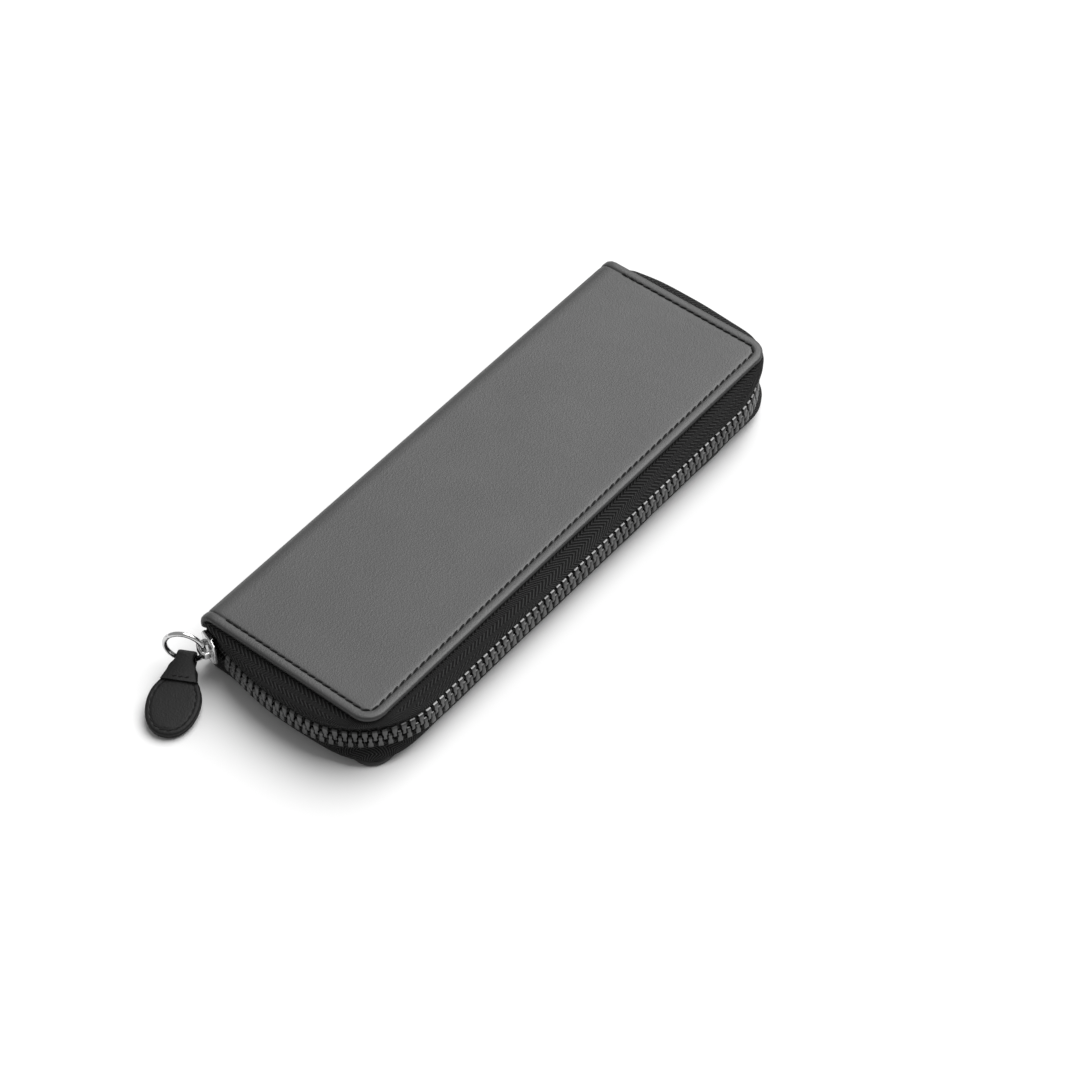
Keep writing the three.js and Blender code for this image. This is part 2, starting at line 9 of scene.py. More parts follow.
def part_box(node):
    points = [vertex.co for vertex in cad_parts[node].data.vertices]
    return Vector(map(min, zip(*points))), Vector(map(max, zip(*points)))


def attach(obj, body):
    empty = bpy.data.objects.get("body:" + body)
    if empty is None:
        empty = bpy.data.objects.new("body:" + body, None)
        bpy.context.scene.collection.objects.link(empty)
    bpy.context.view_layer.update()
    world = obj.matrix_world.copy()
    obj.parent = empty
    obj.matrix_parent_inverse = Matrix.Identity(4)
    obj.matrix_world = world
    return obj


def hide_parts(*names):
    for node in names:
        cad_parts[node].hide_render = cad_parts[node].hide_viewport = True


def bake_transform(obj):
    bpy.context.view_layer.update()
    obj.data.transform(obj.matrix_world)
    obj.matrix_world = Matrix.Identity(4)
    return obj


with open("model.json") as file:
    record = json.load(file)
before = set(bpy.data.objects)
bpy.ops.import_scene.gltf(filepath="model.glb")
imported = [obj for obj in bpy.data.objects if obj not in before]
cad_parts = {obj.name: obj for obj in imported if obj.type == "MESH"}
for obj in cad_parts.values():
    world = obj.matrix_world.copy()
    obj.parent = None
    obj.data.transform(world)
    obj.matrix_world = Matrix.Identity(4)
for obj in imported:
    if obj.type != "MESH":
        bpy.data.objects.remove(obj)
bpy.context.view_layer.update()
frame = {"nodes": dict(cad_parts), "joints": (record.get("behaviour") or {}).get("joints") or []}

# Sizes are in millimetres and become metres when a piece is made
MM = 0.001
UP = Vector((0, 0, 1))


def box_mm(node):
    low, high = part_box(node)
    return low / MM, high / MM


joints = {joint["name"]: joint for joint in frame["joints"]}
cover_low, cover_high = box_mm("top_cover_leather")
lining_low, lining_high = box_mm("top_lining")
near_teeth_low = box_mm("upper_zip_teeth_near")[0]
long_teeth_high = box_mm("upper_zip_teeth_long")[1]
near_loops_low, near_loops_high = box_mm("near_pen_loops")
pocket_low, pocket_high = box_mm("slip_pocket")
binding_low, binding_high = box_mm("pocket_binding")

half_width = cover_high.x
half_length = cover_high.y
height = cover_high.z
middle = height / 2
leather = cover_high.z - cover_low.z
bow_centre = Vector(joints["slider_travel"]["pos_m"]) / MM
crown_pivot = Vector(joints["ring_swing"]["pos_m"]) / MM
tab_eye = Vector(joints["tab_swing"]["pos_m"]) / MM
ring_line = Vector(joints["tab_swing"]["axis"])

# Covers
CORNER = 6
SPINE_ROUND = 4.5
SHEET_STEP = 1.6
SEAM_INSET = 2.8
STITCH_PITCH = 2.6
STITCH_LENGTH = 2.45
THREAD = 0.25
STITCH_SINK = {"top": 0.2, "bottom": 0.47}
SEAM_START = 14.5
SLIDER_NOTCH = 1.4
NOTCH_HALF = 3.9
BULGE = 1.3
FAR_BULGE = 1.9
LINING_CORNER = 3
LINING_THICKNESS = 0.5
LINING_FOLD = 2.2
LINING_NOTCH = 3

# Zip
TOOTH_HALF_THICKNESS = 1.2
TOOTH_PITCH = 2.5
CHAIN_CORNER = 24
CHAIN_END_ANGLE = 23
TAPE_END_ANGLE = 22.2
TAPE = 0.55
TAPE_FLANGE_INSET = 7
TAPE_SEAM_INSET = 1.2
TAPE_SPINE_X = -27
TAPE_CORD = 0.75
CORD_HEIGHT = 2.15
TAPE_DEPTH = 0.95
# Heights of the tape above the case's middle: at its fullest, where it turns down, and near the chain
TAPE_FULLEST = 6.7
TAPE_TURN = 4.6
TAPE_FALL = 3.1
FIRST_TOOTH_GAP = 1.2
# Left free of teeth at the far end, in degrees of the bow
LAST_TOOTH_DEGREES = 3.2
END_STOP_GAP = 1.2
TOP_STOP_AT = 0.6
# A stop's half length along the chain, half thickness, and its two ends from the case's middle
TOP_STOP = (0.5, 0.85, 1.2, 3.2)
END_STOP = (0.9, 1.2, -3.0, 3.0)

# Slider, ring and tab
SLIDER_HALF_LENGTH = 3.9
SLIDER_HALF_HEIGHT = 4.6
SLIDER_FRONT = 0.6
SLIDER_CHANNEL = 1.5
SLIDER_WALL = 1.1
CROWN_HALF_LENGTH = 2.7
CROWN_REACH = 5.2
CROWN_HALF_WIDTH = 1.1
RING_WIRE = 0.7
TAB_SLOPE = 9
TAB_REACH = 23.3
TAB_HALF_WIDTH = 7.25
TAB_NECK = 2.5
TAB_NECK_LENGTH = 3
TAB_WIDEST_AT = 13.5
TAB_HALF_THICKNESS = 1.2
TAB_EYE = 1.45
TAB_WALL = 1.0
TAB_SEAM_INSET = 1.35
TAB_FLAP_END = 7.4
TAB_THREAD = 0.2
BAR_TACK_HALF = 2.9
BAR_TACK_LIFT = 2.06

# Insides
LOOP_SPACING = 11.5
LOOP_HALF_WIDTH = 8
LOOP_FOOT = 3
ELASTIC = 0.9
LINING_THREAD = 0.22
POCKET_SEAM_INSET = 1.2
POCKET_SEAM_HALF = 58


# ---- Finishes ----


class Nodes:
    """Short names for building a node tree."""

    def __init__(self, tree):
        self.tree = tree

    def add(self, kind, **settings):
        node = self.tree.nodes.new(kind)
        for name, value in settings.items():
            setattr(node, name, value)
        return node

    def link(self, source, target):
        self.tree.links.new(source, target)

    def set(self, socket, value):
        if isinstance(value, bpy.types.NodeSocket):
            self.link(value, socket)
        else:
            socket.default_value = value

    def math(self, operation, first, second=0.0, third=0.0):
        node = self.add("ShaderNodeMath", operation=operation)
        for socket, value in zip(node.inputs, (first, second, third)):
            self.set(socket, value)
        return node.outputs[0]

    def wave(self, value, pace):
        return self.math("SINE", self.math("MULTIPLY", value, pace))

    def parts(self, vector):
        node = self.add("ShaderNodeSeparateXYZ")
        self.link(vector, node.inputs[0])
        return node.outputs

    def mix(self, share, first, second):
        node = self.add("ShaderNodeMix", data_type="RGBA")
        self.set(node.inputs["Factor"], share)
        self.set(node.inputs[6], first)
        self.set(node.inputs[7], second)
        return node.outputs[2]

    def between(self, value, low, high):
        node = self.add("ShaderNodeMapRange")
        self.set(node.inputs["Value"], value)
        node.inputs["To Min"].default_value = low
        node.inputs["To Max"].default_value = high
        return node.outputs["Result"]

    def noise(self, vector, scale, detail=2.0):
        node = self.add("ShaderNodeTexNoise")
        self.link(vector, node.inputs["Vector"])
        self.set(node.inputs["Scale"], scale)
        node.inputs["Detail"].default_value = detail
        return node.outputs["Fac"]

    def cells(self, vector, scale, feature="F1"):
        node = self.add("ShaderNodeTexVoronoi", feature=feature)
        self.link(vector, node.inputs["Vector"])
        self.set(node.inputs["Scale"], scale)
        return node.outputs["Distance"]

    def bump(self, height, relief_mm, strength=1.0):
        node = self.add("ShaderNodeBump")
        self.link(height, node.inputs["Height"])
        node.inputs["Distance"].default_value = relief_mm * MM
        node.inputs["Strength"].default_value = strength
        return node.outputs["Normal"]


def effect(name, inputs, outputs, build):
    """A node group with a vector input, the given number inputs, and number outputs."""
    group = bpy.data.node_groups.new(name, "ShaderNodeTree")
    group.interface.new_socket("Vector", in_out="INPUT", socket_type="NodeSocketVector")
    for label, value in inputs.items():
        socket = group.interface.new_socket(label, in_out="INPUT", socket_type="NodeSocketFloat")
        socket.default_value = value
    for label in outputs:
        group.interface.new_socket(label, in_out="OUTPUT", socket_type="NodeSocketFloat")
    nodes = Nodes(group)
    entry = nodes.add("NodeGroupInput")
    leave = nodes.add("NodeGroupOutput")
    for label, value in build(nodes, entry.outputs).items():
        nodes.link(value, leave.inputs[label])
    return group


def pebble(nodes, given):
    """Fine pebbled skin with pores, and the slow cloudiness of a dyed hide."""
    pebbles = nodes.cells(given["Vector"], given["Pebbles"], "SMOOTH_F1")
    pores = nodes.noise(given["Vector"], nodes.math("MULTIPLY", given["Pebbles"], 2.6), 3.0)
    clouds = nodes.noise(given["Vector"], given["Clouds"], 4.0)
    relief = nodes.math("MULTIPLY_ADD", pores, 0.5, pebbles)
    return {"Height": relief, "Clouds": clouds}


def herringbone(nodes, given):
    """Diagonal ribs that turn back at each column, with the yarns crossing them."""
    place = nodes.parts(given["Vector"])
    turned = nodes.math("PINGPONG", place["Y"], given["Column"])
    slanted = nodes.math("MULTIPLY_ADD", turned, 1.3, place["X"])
    rib = nodes.wave(nodes.math("DIVIDE", slanted, given["Rib"]), 2 * math.pi)
    crossing = nodes.math("SUBTRACT", place["X"], turned)
    yarn = nodes.wave(nodes.math("DIVIDE", crossing, given["Rib"]), 4 * math.pi)
    fuzz = nodes.noise(given["Vector"], 6.0, 3.0)
    relief = nodes.math("MULTIPLY_ADD", yarn, 0.22, rib)
    relief = nodes.math("MULTIPLY_ADD", relief, 0.4, fuzz)
    return {"Height": relief, "Ribs": nodes.between(rib, 0.0, 1.0)}


def handling(nodes, given):
    """Fine rubbed streaks and smudges that handling leaves on a smooth surface."""
    stretched = nodes.add("ShaderNodeMapping")
    nodes.link(given["Vector"], stretched.inputs["Vector"])
    stretched.inputs["Scale"].default_value = (0.25, 1.0, 4.0)
    streaks = nodes.noise(stretched.outputs[0], given["Streaks"], 5.0)
    smudges = nodes.noise(given["Vector"], given["Smudges"], 3.0)
    return {"Streaks": streaks, "Smudges": smudges}


hide_effect = effect("hide_pebble", {"Pebbles": 2.4, "Clouds": 0.05}, ["Height", "Clouds"], pebble)
twill_effect = effect("herringbone_twill", {"Column": 1.5, "Rib": 0.7}, ["Height", "Ribs"], herringbone)
rub_effect = effect("handling_marks", {"Streaks": 900.0, "Smudges": 120.0}, ["Streaks", "Smudges"], handling)


def placed(nodes, group, vector, **values):
    node = nodes.add("ShaderNodeGroup", node_tree=group)
    nodes.link(vector, node.inputs["Vector"])
    for label, value in values.items():
        node.inputs[label].default_value = value
    return node.outputs


def finish(name, coordinates, build, **constants):
    """A material: build links the varying parts, and constants go straight on the shader's sockets."""
    material = bpy.data.materials.new(name)
    material.use_nodes = True
    nodes = Nodes(material.node_tree)
    shader = material.node_tree.nodes["Principled BSDF"]
    for label, value in constants.items():
        shader.inputs[label.replace("_", " ")].default_value = value
    vector = nodes.add("ShaderNodeTexCoord").outputs[coordinates]
    for label, value in build(nodes, vector).items():
        nodes.set(shader.inputs[label], value)
    return material


def grey(value, warmth=0.0):
    return (value * (1 + warmth), value, value * (1 - warmth), 1.0)


def hide(dye_and_painted_shade, skin):
    """Dyed leather: darkened by a per-point mask towards the edge tone, partly edge dye and partly painted
    shade on its sides, rounded band and stitch groove; its rims are rubbed a little paler in places.
    """
    dark, light, edge = dye_and_painted_shade
    pebbles, relief, smooth, rough = skin

    def build(nodes, vector):
        skin = placed(nodes, hide_effect, vector, Pebbles=pebbles)
        marks = placed(nodes, rub_effect, vector, Streaks=0.35, Smudges=0.09)
        edge_dye_and_painted_shade = nodes.add("ShaderNodeAttribute", attribute_name="edge_dye_and_painted_shade").outputs["Fac"]
        tone = nodes.math("MULTIPLY_ADD", marks["Smudges"], 0.35, skin["Clouds"])
        dyed = nodes.mix(nodes.between(tone, -0.1, 0.85), grey(dark), grey(light))
        rim = nodes.math("MULTIPLY", edge_dye_and_painted_shade, nodes.math("SUBTRACT", 1.0, edge_dye_and_painted_shade))
        rubbed = nodes.mix(nodes.math("MULTIPLY", rim, marks["Streaks"]), dyed, grey(light * 2.5))
        return {
            # The base colour darkens towards the edge tone where the mask is high: painted shade on the
            # edge's side, rounded band and stitch groove, partly also a real darker edge dye.
            "Base Color": nodes.mix(edge_dye_and_painted_shade, rubbed, grey(edge)),
            "Roughness": nodes.between(marks["Streaks"], smooth, rough),
            "Normal": nodes.bump(skin["Height"], relief),
        }

    return build


def weave(dark, light, column, rib, relief):
    def build(nodes, vector):
        cloth = placed(nodes, twill_effect, vector, Column=column, Rib=rib)
        return {
            "Base Color": nodes.mix(cloth["Ribs"], grey(dark), grey(light)),
            "Roughness": nodes.between(cloth["Ribs"], 0.95, 0.7),
            "Normal": nodes.bump(cloth["Height"], relief),
        }

    return build


def plated(dark, light, smooth, rough):
    def build(nodes, vector):
        marks = placed(nodes, rub_effect, vector)
        return {
            "Base Color": nodes.mix(marks["Smudges"], grey(dark), grey(light)),
            "Roughness": nodes.between(marks["Streaks"], smooth, rough),
            "Normal": nodes.bump(marks["Streaks"], 0.01, 0.5),
        }

    return build


def nap(nodes, vector):
    """Brushed lining cloth: short fibres lying in patches."""
    fibres = nodes.noise(vector, 4.0, 6.0)
    patches = nodes.noise(vector, 0.4, 4.0)
    tone = nodes.math("MULTIPLY", fibres, nodes.math("MULTIPLY_ADD", patches, 1.6, 0.1))
    return {
        "Base Color": nodes.mix(tone, grey(0.004), grey(0.036)),
        "Roughness": nodes.between(fibres, 0.8, 1.0),
        "Normal": nodes.bump(fibres, 0.3),
    }


def twisted(nodes, vector):
    """Two plies of waxed thread wound round each other."""
    place = nodes.parts(vector)
    wound = nodes.math("MULTIPLY_ADD", place["X"], 2.2, place["Y"])
    ply = nodes.between(nodes.wave(wound, 4 * math.pi), 0.0, 1.0)
    return {
        "Base Color": nodes.mix(ply, grey(0.004), grey(0.016)),
        "Roughness": nodes.between(ply, 0.75, 0.5),
        "Normal": nodes.bump(ply, 0.08),
    }


def pressed_fibre(nodes, vector):
    fibres = nodes.noise(vector, 1400.0, 6.0)
    flecks = nodes.noise(vector, 300.0, 2.0)
    tone = nodes.math("MULTIPLY", fibres, flecks)
    return {
        "Base Color": nodes.mix(nodes.between(tone, 0.0, 2.0), grey(0.18, 0.12), grey(0.36, 0.1)),
        "Roughness": nodes.between(fibres, 0.85, 1.0),
        "Normal": nodes.bump(fibres, 0.1),
    }


def ribbed_elastic(nodes, vector):
    """Covered rubber cords side by side, with the knitted yarn across them."""
    place = nodes.parts(vector)
    cord = nodes.wave(place["Y"], 2 * math.pi / 1.1)
    knit = nodes.wave(place["X"], 2 * math.pi / 0.55)
    relief = nodes.math("MULTIPLY_ADD", knit, 0.35, cord)
    tone = nodes.between(relief, 0.2, 0.8)
    return {
        "Base Color": nodes.mix(tone, grey(0.006), grey(0.022)),
        "Roughness": nodes.between(tone, 0.95, 0.75),
        "Normal": nodes.bump(relief, 0.1),
    }


def studio_paper(nodes, vector):
    fibre = nodes.noise(vector, 40.0, 2.0)
    return {
        "Base Color": nodes.mix(fibre, grey(0.60), grey(0.62)),
        "Roughness": nodes.between(fibre, 0.85, 0.95),
    }


# A dye is the darkest and palest tone, and the tone of the darkened edge: partly edge dye, partly painted
# shade. A skin is the pebbles to a millimetre, the relief, and the roughness where it is rubbed smooth and
# where it isn't.
COVER_DYE_AND_PAINTED_SHADE = (0.027, 0.042, 0.006)
COVER_SKIN = (2.8, 0.055, 0.42, 0.54)
TAB_DYE = (0.003, 0.008, 0.003)
TAB_SKIN = (2.4, 0.07, 0.5, 0.62)

cover_finish = finish("cover_leather", "UV", hide(COVER_DYE_AND_PAINTED_SHADE, COVER_SKIN))
tab_finish = finish(
    "tab_leather", "UV", hide(TAB_DYE, TAB_SKIN), Specular_IOR_Level=0.2
)
tape_weave = weave(dark=0.001, light=0.034, column=2.4, rib=1.2, relief=0.5)
tape_finish = finish("zip_tape", "UV", tape_weave, Specular_IOR_Level=0.2, Sheen_Weight=0.02)
gunmetal = plated(dark=0.05, light=0.12, smooth=0.26, rough=0.44)
teeth_finish = finish("gunmetal_teeth", "Object", gunmetal, Metallic=1.0)
nickel = plated(dark=0.50, light=0.68, smooth=0.10, rough=0.24)
nickel_finish = finish("nickel_plate", "Object", nickel, Metallic=1.0)
lining_finish = finish("lining_cloth", "UV", nap, Specular_IOR_Level=0.15, Sheen_Weight=0.08)
thread_finish = finish("waxed_thread", "UV", twisted, Specular_IOR_Level=0.25)
board_finish = finish("fibre_board", "Object", pressed_fibre)
elastic_finish = finish("ribbed_elastic", "UV", ribbed_elastic, Specular_IOR_Level=0.25)
floor_finish = finish("studio_paper", "Object", studio_paper)


# ---- Making pieces ----


class Shape:
    """Points, faces and flat coordinates of a piece, gathered in millimetres."""

    def __init__(self):
        self.points = []
        self.flat = []
        self.edge_dye_and_painted_shade = []
        self.faces = []

    def point(self, place, flat=(0.0, 0.0), edge_dye_and_painted_shade=0.0):
        self.points.append(Vector(place))
        self.flat.append(flat)
        self.edge_dye_and_painted_shade.append(edge_dye_and_painted_shade)
        return len(self.points) - 1

    def quads(self, rows, closed=False):
        for first, second in zip(rows, rows[1:]):
            count = len(first)
            for i in range(count if closed else count - 1):
                j = (i + 1) % count
                self.faces.append((first[i], first[j], second[j], second[i]))

    def face(self, corners):
        self.faces.append(tuple(corners))


def flipped(place, turned_over):
    """The place itself or, turned over, the same place on the lower half."""
    return Vector((place.x, place.y, height - place.z)) if turned_over else place


def made(name, shape, material, turned_over=False, sharp=50):
    """The finished mesh object. A turned-over piece is the same shape below the case's middle."""
    mesh = bpy.data.meshes.new(name)
    mesh.from_pydata([flipped(p, turned_over) * MM for p in shape.points], [], shape.faces)
    layer = mesh.uv_layers.new(name="flat")
    for loop in mesh.loops:
        layer.data[loop.index].uv = shape.flat[loop.vertex_index]
    # Each point's darkening of the leather: partly a real darker edge dye, partly painted shade on the edge's
    # side, rounded band and stitch groove
    mesh.attributes.new("edge_dye_and_painted_shade", "FLOAT", "POINT").data.foreach_set("value", shape.edge_dye_and_painted_shade)
    work = bmesh.new()
    work.from_mesh(mesh)
    bmesh.ops.remove_doubles(work, verts=work.verts, dist=0.002 * MM)
    bmesh.ops.recalc_face_normals(work, faces=work.faces)
    for face in work.faces:
        face.smooth = True
    for edge in work.edges:
        edge.smooth = len(edge.link_faces) == 2 and edge.calc_face_angle() < math.radians(sharp)
    work.to_mesh(mesh)
    work.free()
    mesh.materials.append(material)
    piece = bpy.data.objects.new(name, mesh)
    bpy.context.scene.collection.objects.link(piece)
    return piece


def spaced(low, high, step):
    count = max(1, round((high - low) / step))
    return [low + (high - low) * i / count for i in range(count + 1)]


def smooth_step(low, high, value):
    share = min(max((value - low) / (high - low), 0.0), 1.0)
    return share * share * (3 - 2 * share)


def smooth_curve(knots, steps):
    """Points on a smooth curve through the knots."""
    padded = [knots[0] * 2 - knots[1], *knots, knots[-1] * 2 - knots[-2]]
    found = []
    for before, start, end, after in zip(padded, padded[1:], padded[2:], padded[3:]):
        for i in range(steps):
            t = i / steps
            a = start * 2
            b = (end - before) * t
            c = (before * 2 - start * 5 + end * 4 - after) * t**2
            d = (start * 3 - before - end * 3 + after) * t**3
            found.append((a + b + c + d) / 2)
    return [*found, knots[-1].copy()]


def tube(shape, path, radii, sides=10, closed=False):
    """A round tube along the path, its ends closed unless it joins itself."""
    count = len(path)
    rows = []
    side = None
    travelled = 0.0
    for i, here in enumerate(path):
        ahead = path[(i + 1) % count] if closed else path[min(i + 1, count - 1)]
        behind = path[i - 1] if closed or i else path[0]
        along = (ahead - behind).normalized()
        side = side or along.orthogonal()
        side = (side - along * side.dot(along)).normalized()
        up = along.cross(side)
        travelled += (here - behind).length
        row = []
        for k in range(sides):
            turn = 2 * math.pi * k / sides
            offset = side * math.cos(turn) + up * math.sin(turn)
            row.append(shape.point(here + offset * radii[i], (travelled, k / sides)))
        rows.append(row)
    shape.quads([*rows, rows[0]] if closed else rows, closed=True)
    if not closed:
        shape.face(reversed(rows[0]))
        shape.face(rows[-1])


def sewn(shape, seats, length=STITCH_LENGTH, thread=THREAD, slant=13):
    """One stitch at each seat: it comes up out of one hole, lies on the surface and goes down the next."""
    for place, along, up in seats:
        lying = Matrix.Rotation(math.radians(slant), 3, up) @ along
        path = []
        radii = []
        for i in range(9):
            share = i / 8
            rise = math.sin(math.pi * share) ** 0.5 * thread * 1.25 - thread * 0.75
            path.append(place + lying * (share - 0.5) * length + up * rise)
            radii.append(thread * (0.6 + 0.4 * math.sin(math.pi * share)))
        tube(shape, path, radii, sides=8)


def seats_along(path, ups, pitch):
    """Stitch seats a pitch apart along a line of points, each with its direction and the surface's up."""
    seats = []
    travelled = 0.0
    wanted = pitch / 2
    for start, end, up in zip(path, path[1:], ups):
        step = (end - start).length
        while step and wanted <= travelled + step:
            share = (wanted - travelled) / step
            seats.append((start.lerp(end, share), (end - start).normalized(), up))
            wanted += pitch
        travelled += step
    return seats


def sew_line(shape, line, up, pitch, **thread):
    sewn(shape, seats_along(line, [up] * len(line), pitch), **thread)


def strap(shape, path, half_widths, half_thickness, across, round_steps=4):
    """A flat strap along the path, rounded at its two edges."""
    rows = []
    travelled = 0.0
    for i, here in enumerate(path):
        ahead = path[min(i + 1, len(path) - 1)]
        behind = path[max(i - 1, 0)]
        up = across.cross((ahead - behind).normalized()).normalized()
        travelled += (here - path[i - 1]).length if i else 0.0
        flat_half = half_widths[i] - half_thickness
        row = []
        for side in (1, -1):
            for k in range(round_steps + 1):
                turn = math.pi * (k / round_steps - 0.5)
                sideways = side * (flat_half + half_thickness * math.cos(turn))
                lift = side * half_thickness * math.sin(turn)
                row.append(shape.point(here + across * sideways + up * lift, (travelled, sideways)))
        rows.append(row)
    shape.quads(rows, closed=True)
    shape.face(reversed(rows[0]))
    shape.face(rows[-1])


def oblong(left, bottom, right, top):
    return [(left, bottom), (right, bottom), (right, top), (left, top)]


def bevelled(shape, outline, low, high, seat, bevel, steps=3):
    """A flat plate of that outline between two heights, its edges rounded, put at a seat matrix."""
    work = bmesh.new()
    base = work.faces.new([work.verts.new((x, y, low)) for x, y in outline])
    lifted = bmesh.ops.extrude_face_region(work, geom=[base])["geom"]
    tops = [v for v in lifted if isinstance(v, bmesh.types.BMVert)]
    bmesh.ops.translate(work, verts=tops, vec=(0, 0, high - low))
    bmesh.ops.recalc_face_normals(work, faces=work.faces)
    corners = [e for e in work.edges if e.calc_face_angle() > math.radians(40)]
    bmesh.ops.bevel(work, geom=corners, offset=bevel, segments=steps, profile=0.5, affect="EDGES")
    first = len(shape.points)
    work.verts.index_update()
    for vert in work.verts:
        shape.point(seat @ vert.co, (vert.co.x, vert.co.y))
    for face in work.faces:
        shape.face([first + v.index for v in face.verts])
    work.free()


# ---- Covers and spine: one sheet of leather, made as an upper and a lower half ----

flat_spine = middle - SPINE_ROUND
spine_arc = SPINE_ROUND * math.pi / 2
sheet_width = flat_spine + spine_arc + 2 * half_width - SPINE_ROUND


def wrapped(u, y, depth):
    """Where a point of the flat sheet lies: up the spine, round its edge and out over the cover."""
    notch = SLIDER_NOTCH * (1 - smooth_step(NOTCH_HALF - 1, NOTCH_HALF + 1, u))
    y -= math.copysign(notch * smooth_step(half_length - 15, half_length, abs(y)), y)
    turn = min(max((u - flat_spine) / SPINE_ROUND, 0.0), math.pi / 2)
    out = Vector((-math.cos(turn), 0, math.sin(turn)))
    place = Vector((SPINE_ROUND - half_width, y, height - SPINE_ROUND)) + out * (SPINE_ROUND - depth)
    place.x += max(u - flat_spine - spine_arc, 0.0)
    place.z += min(u - flat_spine, 0.0)
    return place


def hide_wave(u, y):
    """The hide is never quite flat: long shallow hollows, none at its edges."""
    edge = min(sheet_width - u, half_length - abs(y))
    hollow = noise.noise(Vector((u * 0.035, y * 0.022, 3.0)))
    return 0.14 * (0.5 + 0.5 * hollow) * smooth_step(3, 16, edge) * smooth_step(8, 24, u)


def edge_stations(width, half_y, corner):
    """Points of a sheet's near, long and far edges in its flat coordinates, with the way inward."""
    us = spaced(0, width - corner, SHEET_STEP)
    ys = spaced(corner - half_y, half_y - corner, SHEET_STEP)
    stations = [((u, -half_y), (0, 1)) for u in us]
    for centre_y, start in ((corner - half_y, -90), (half_y - corner, 0)):
        if start == 0:
            stations += [((width, y), (-1, 0)) for y in ys[1:]]
        for i in range(1, 15):
            turn = math.radians(start + 90 * i / 14)
            out = (math.cos(turn), math.sin(turn))
            rim = (width - corner + corner * out[0], centre_y + corner * out[1])
            stations.append((rim, (-out[0], -out[1])))
    stations += [((u, half_y), (0, -1)) for u in reversed(us[:-1])]
    return us, ys, stations


def sheet(width, half_y, corner, border, place, wave):
    """A sheet with a shaped border on three sides. The border runs from its underside round to its face."""
    us, ys, stations = edge_stations(width, half_y, corner)
    shape = Shape()

    def point(u, y, depth, edge_dye_and_painted_shade):
        return shape.point(place(u, y, depth + wave(u, y)), (u, y), edge_dye_and_painted_shade)

    rings = []
    for inset, depth, edge_dye_and_painted_shade in border:
        rings.append([point(u + du * inset, y + dy * inset, depth, edge_dye_and_painted_shade) for (u, y), (du, dy) in stations])
    shape.quads(rings)
    fields = []
    for _, depth, edge_dye_and_painted_shade in (border[0], border[-1]):
        fields.append([[point(u, y, depth, edge_dye_and_painted_shade) for y in ys] for u in us])
        shape.quads(fields[-1])
    shape.quads([fields[0][0], fields[1][0]])
    shape.face(ring[0] for ring in rings)
    shape.face(ring[-1] for ring in reversed(rings))
    return shape


# How far in from the edge, how deep, and how dark, from the underside round to the face. The darkening is
# partly edge dye and partly painted shade on the side and rounded band, painted shade in the stitch groove,
# and plain dark on the underside.
LEATHER_BORDER = [
    (CORNER, leather, 1.0),
    (4.4, leather, 1.0),
    (4.2, leather + 0.5, 1.0),
    (3.9, leather + 0.62, 1.0),
    (1.0, leather + 0.62, 1.0),
    (0.45, leather + 0.5, 1.0),
    (0.1, leather + 0.1, 1.0),
    (0.0, 0.95, 1.0),
    (0.06, 0.55, 0.9),
    (0.22, 0.3, 0.7),
    (0.5, 0.13, 0.5),
    (0.9, 0.05, 0.32),
    (1.4, 0.0, 0.18),
    (1.9, 0.02, 0.1),
    (2.3, 0.1, 0.12),
    # The stitch groove's rings carry painted shade.
    (2.55, 0.24, 0.4),
    (2.7, 0.38, 0.8),
    (SEAM_INSET, 0.42, 1.0),
    (2.92, 0.36, 0.75),
    (3.15, 0.2, 0.15),
    (3.5, 0.13, 0.03),
    (4.2, 0.1, 0.0),
    (CORNER, 0.1, 0.0),
]


def seam_seats(inset, start, sink):
    """Stitch seats along the cover's three sewn edges."""
    _, _, stations = edge_stations(sheet_width, half_length, CORNER)
    rim = [(u + du * inset, y + dy * inset) for (u, y), (du, dy) in stations]
    rim = [(u, y) for u, y in rim if u >= start]
    path = [wrapped(u, y, sink) for u, y in rim]
    ups = [(wrapped(u, y, 0.0) - wrapped(u, y, 1.0)).normalized() for u, y in rim]
    return seats_along(path, ups, STITCH_PITCH)


def spine_side(body_end, turned_over):
    """Where the leather starts and stops turning with the hinge at one edge of the spine."""
    start = flipped(Vector((-half_width, 0, height - SPINE_ROUND)), turned_over)
    end = flipped(Vector((SPINE_ROUND - half_width, 0, height)), turned_over)
    return ("spine", body_end, start * MM, end * MM)


def make_cover(side, turned_over):
    shape = sheet(sheet_width, half_length, CORNER, LEATHER_BORDER, wrapped, hide_wave)
    hide_piece = made(f"{side}_cover_hide", shape, cover_finish, turned_over)
    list(spine_side(side, turned_over))
    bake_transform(hide_piece)
    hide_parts(f"{side}_cover_leather")
    if side == "top":
        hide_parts("spine_leather")

    seats = seam_seats(SEAM_INSET, SEAM_START, STITCH_SINK[side])
    threads = Shape()
    sewn(threads, seats)
    # Two more stitches over the first and last ones lock the seam at the spine
    for place, along, up in (*seats[:2], *seats[-2:]):
        sewn(threads, [(place - up * 0.04, along, up)], thread=THREAD * 1.3, slant=-8)
    seam = made(f"{side}_cover_stitching", threads, thread_finish, turned_over)
    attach(seam, side)


# ---- Lining ----

lining_face = height - lining_low.z
lining_width = (middle - lining_face) + (lining_high.x + half_width - lining_face)
lining_half_length = lining_high.y
lining_fold_u = middle - lining_face


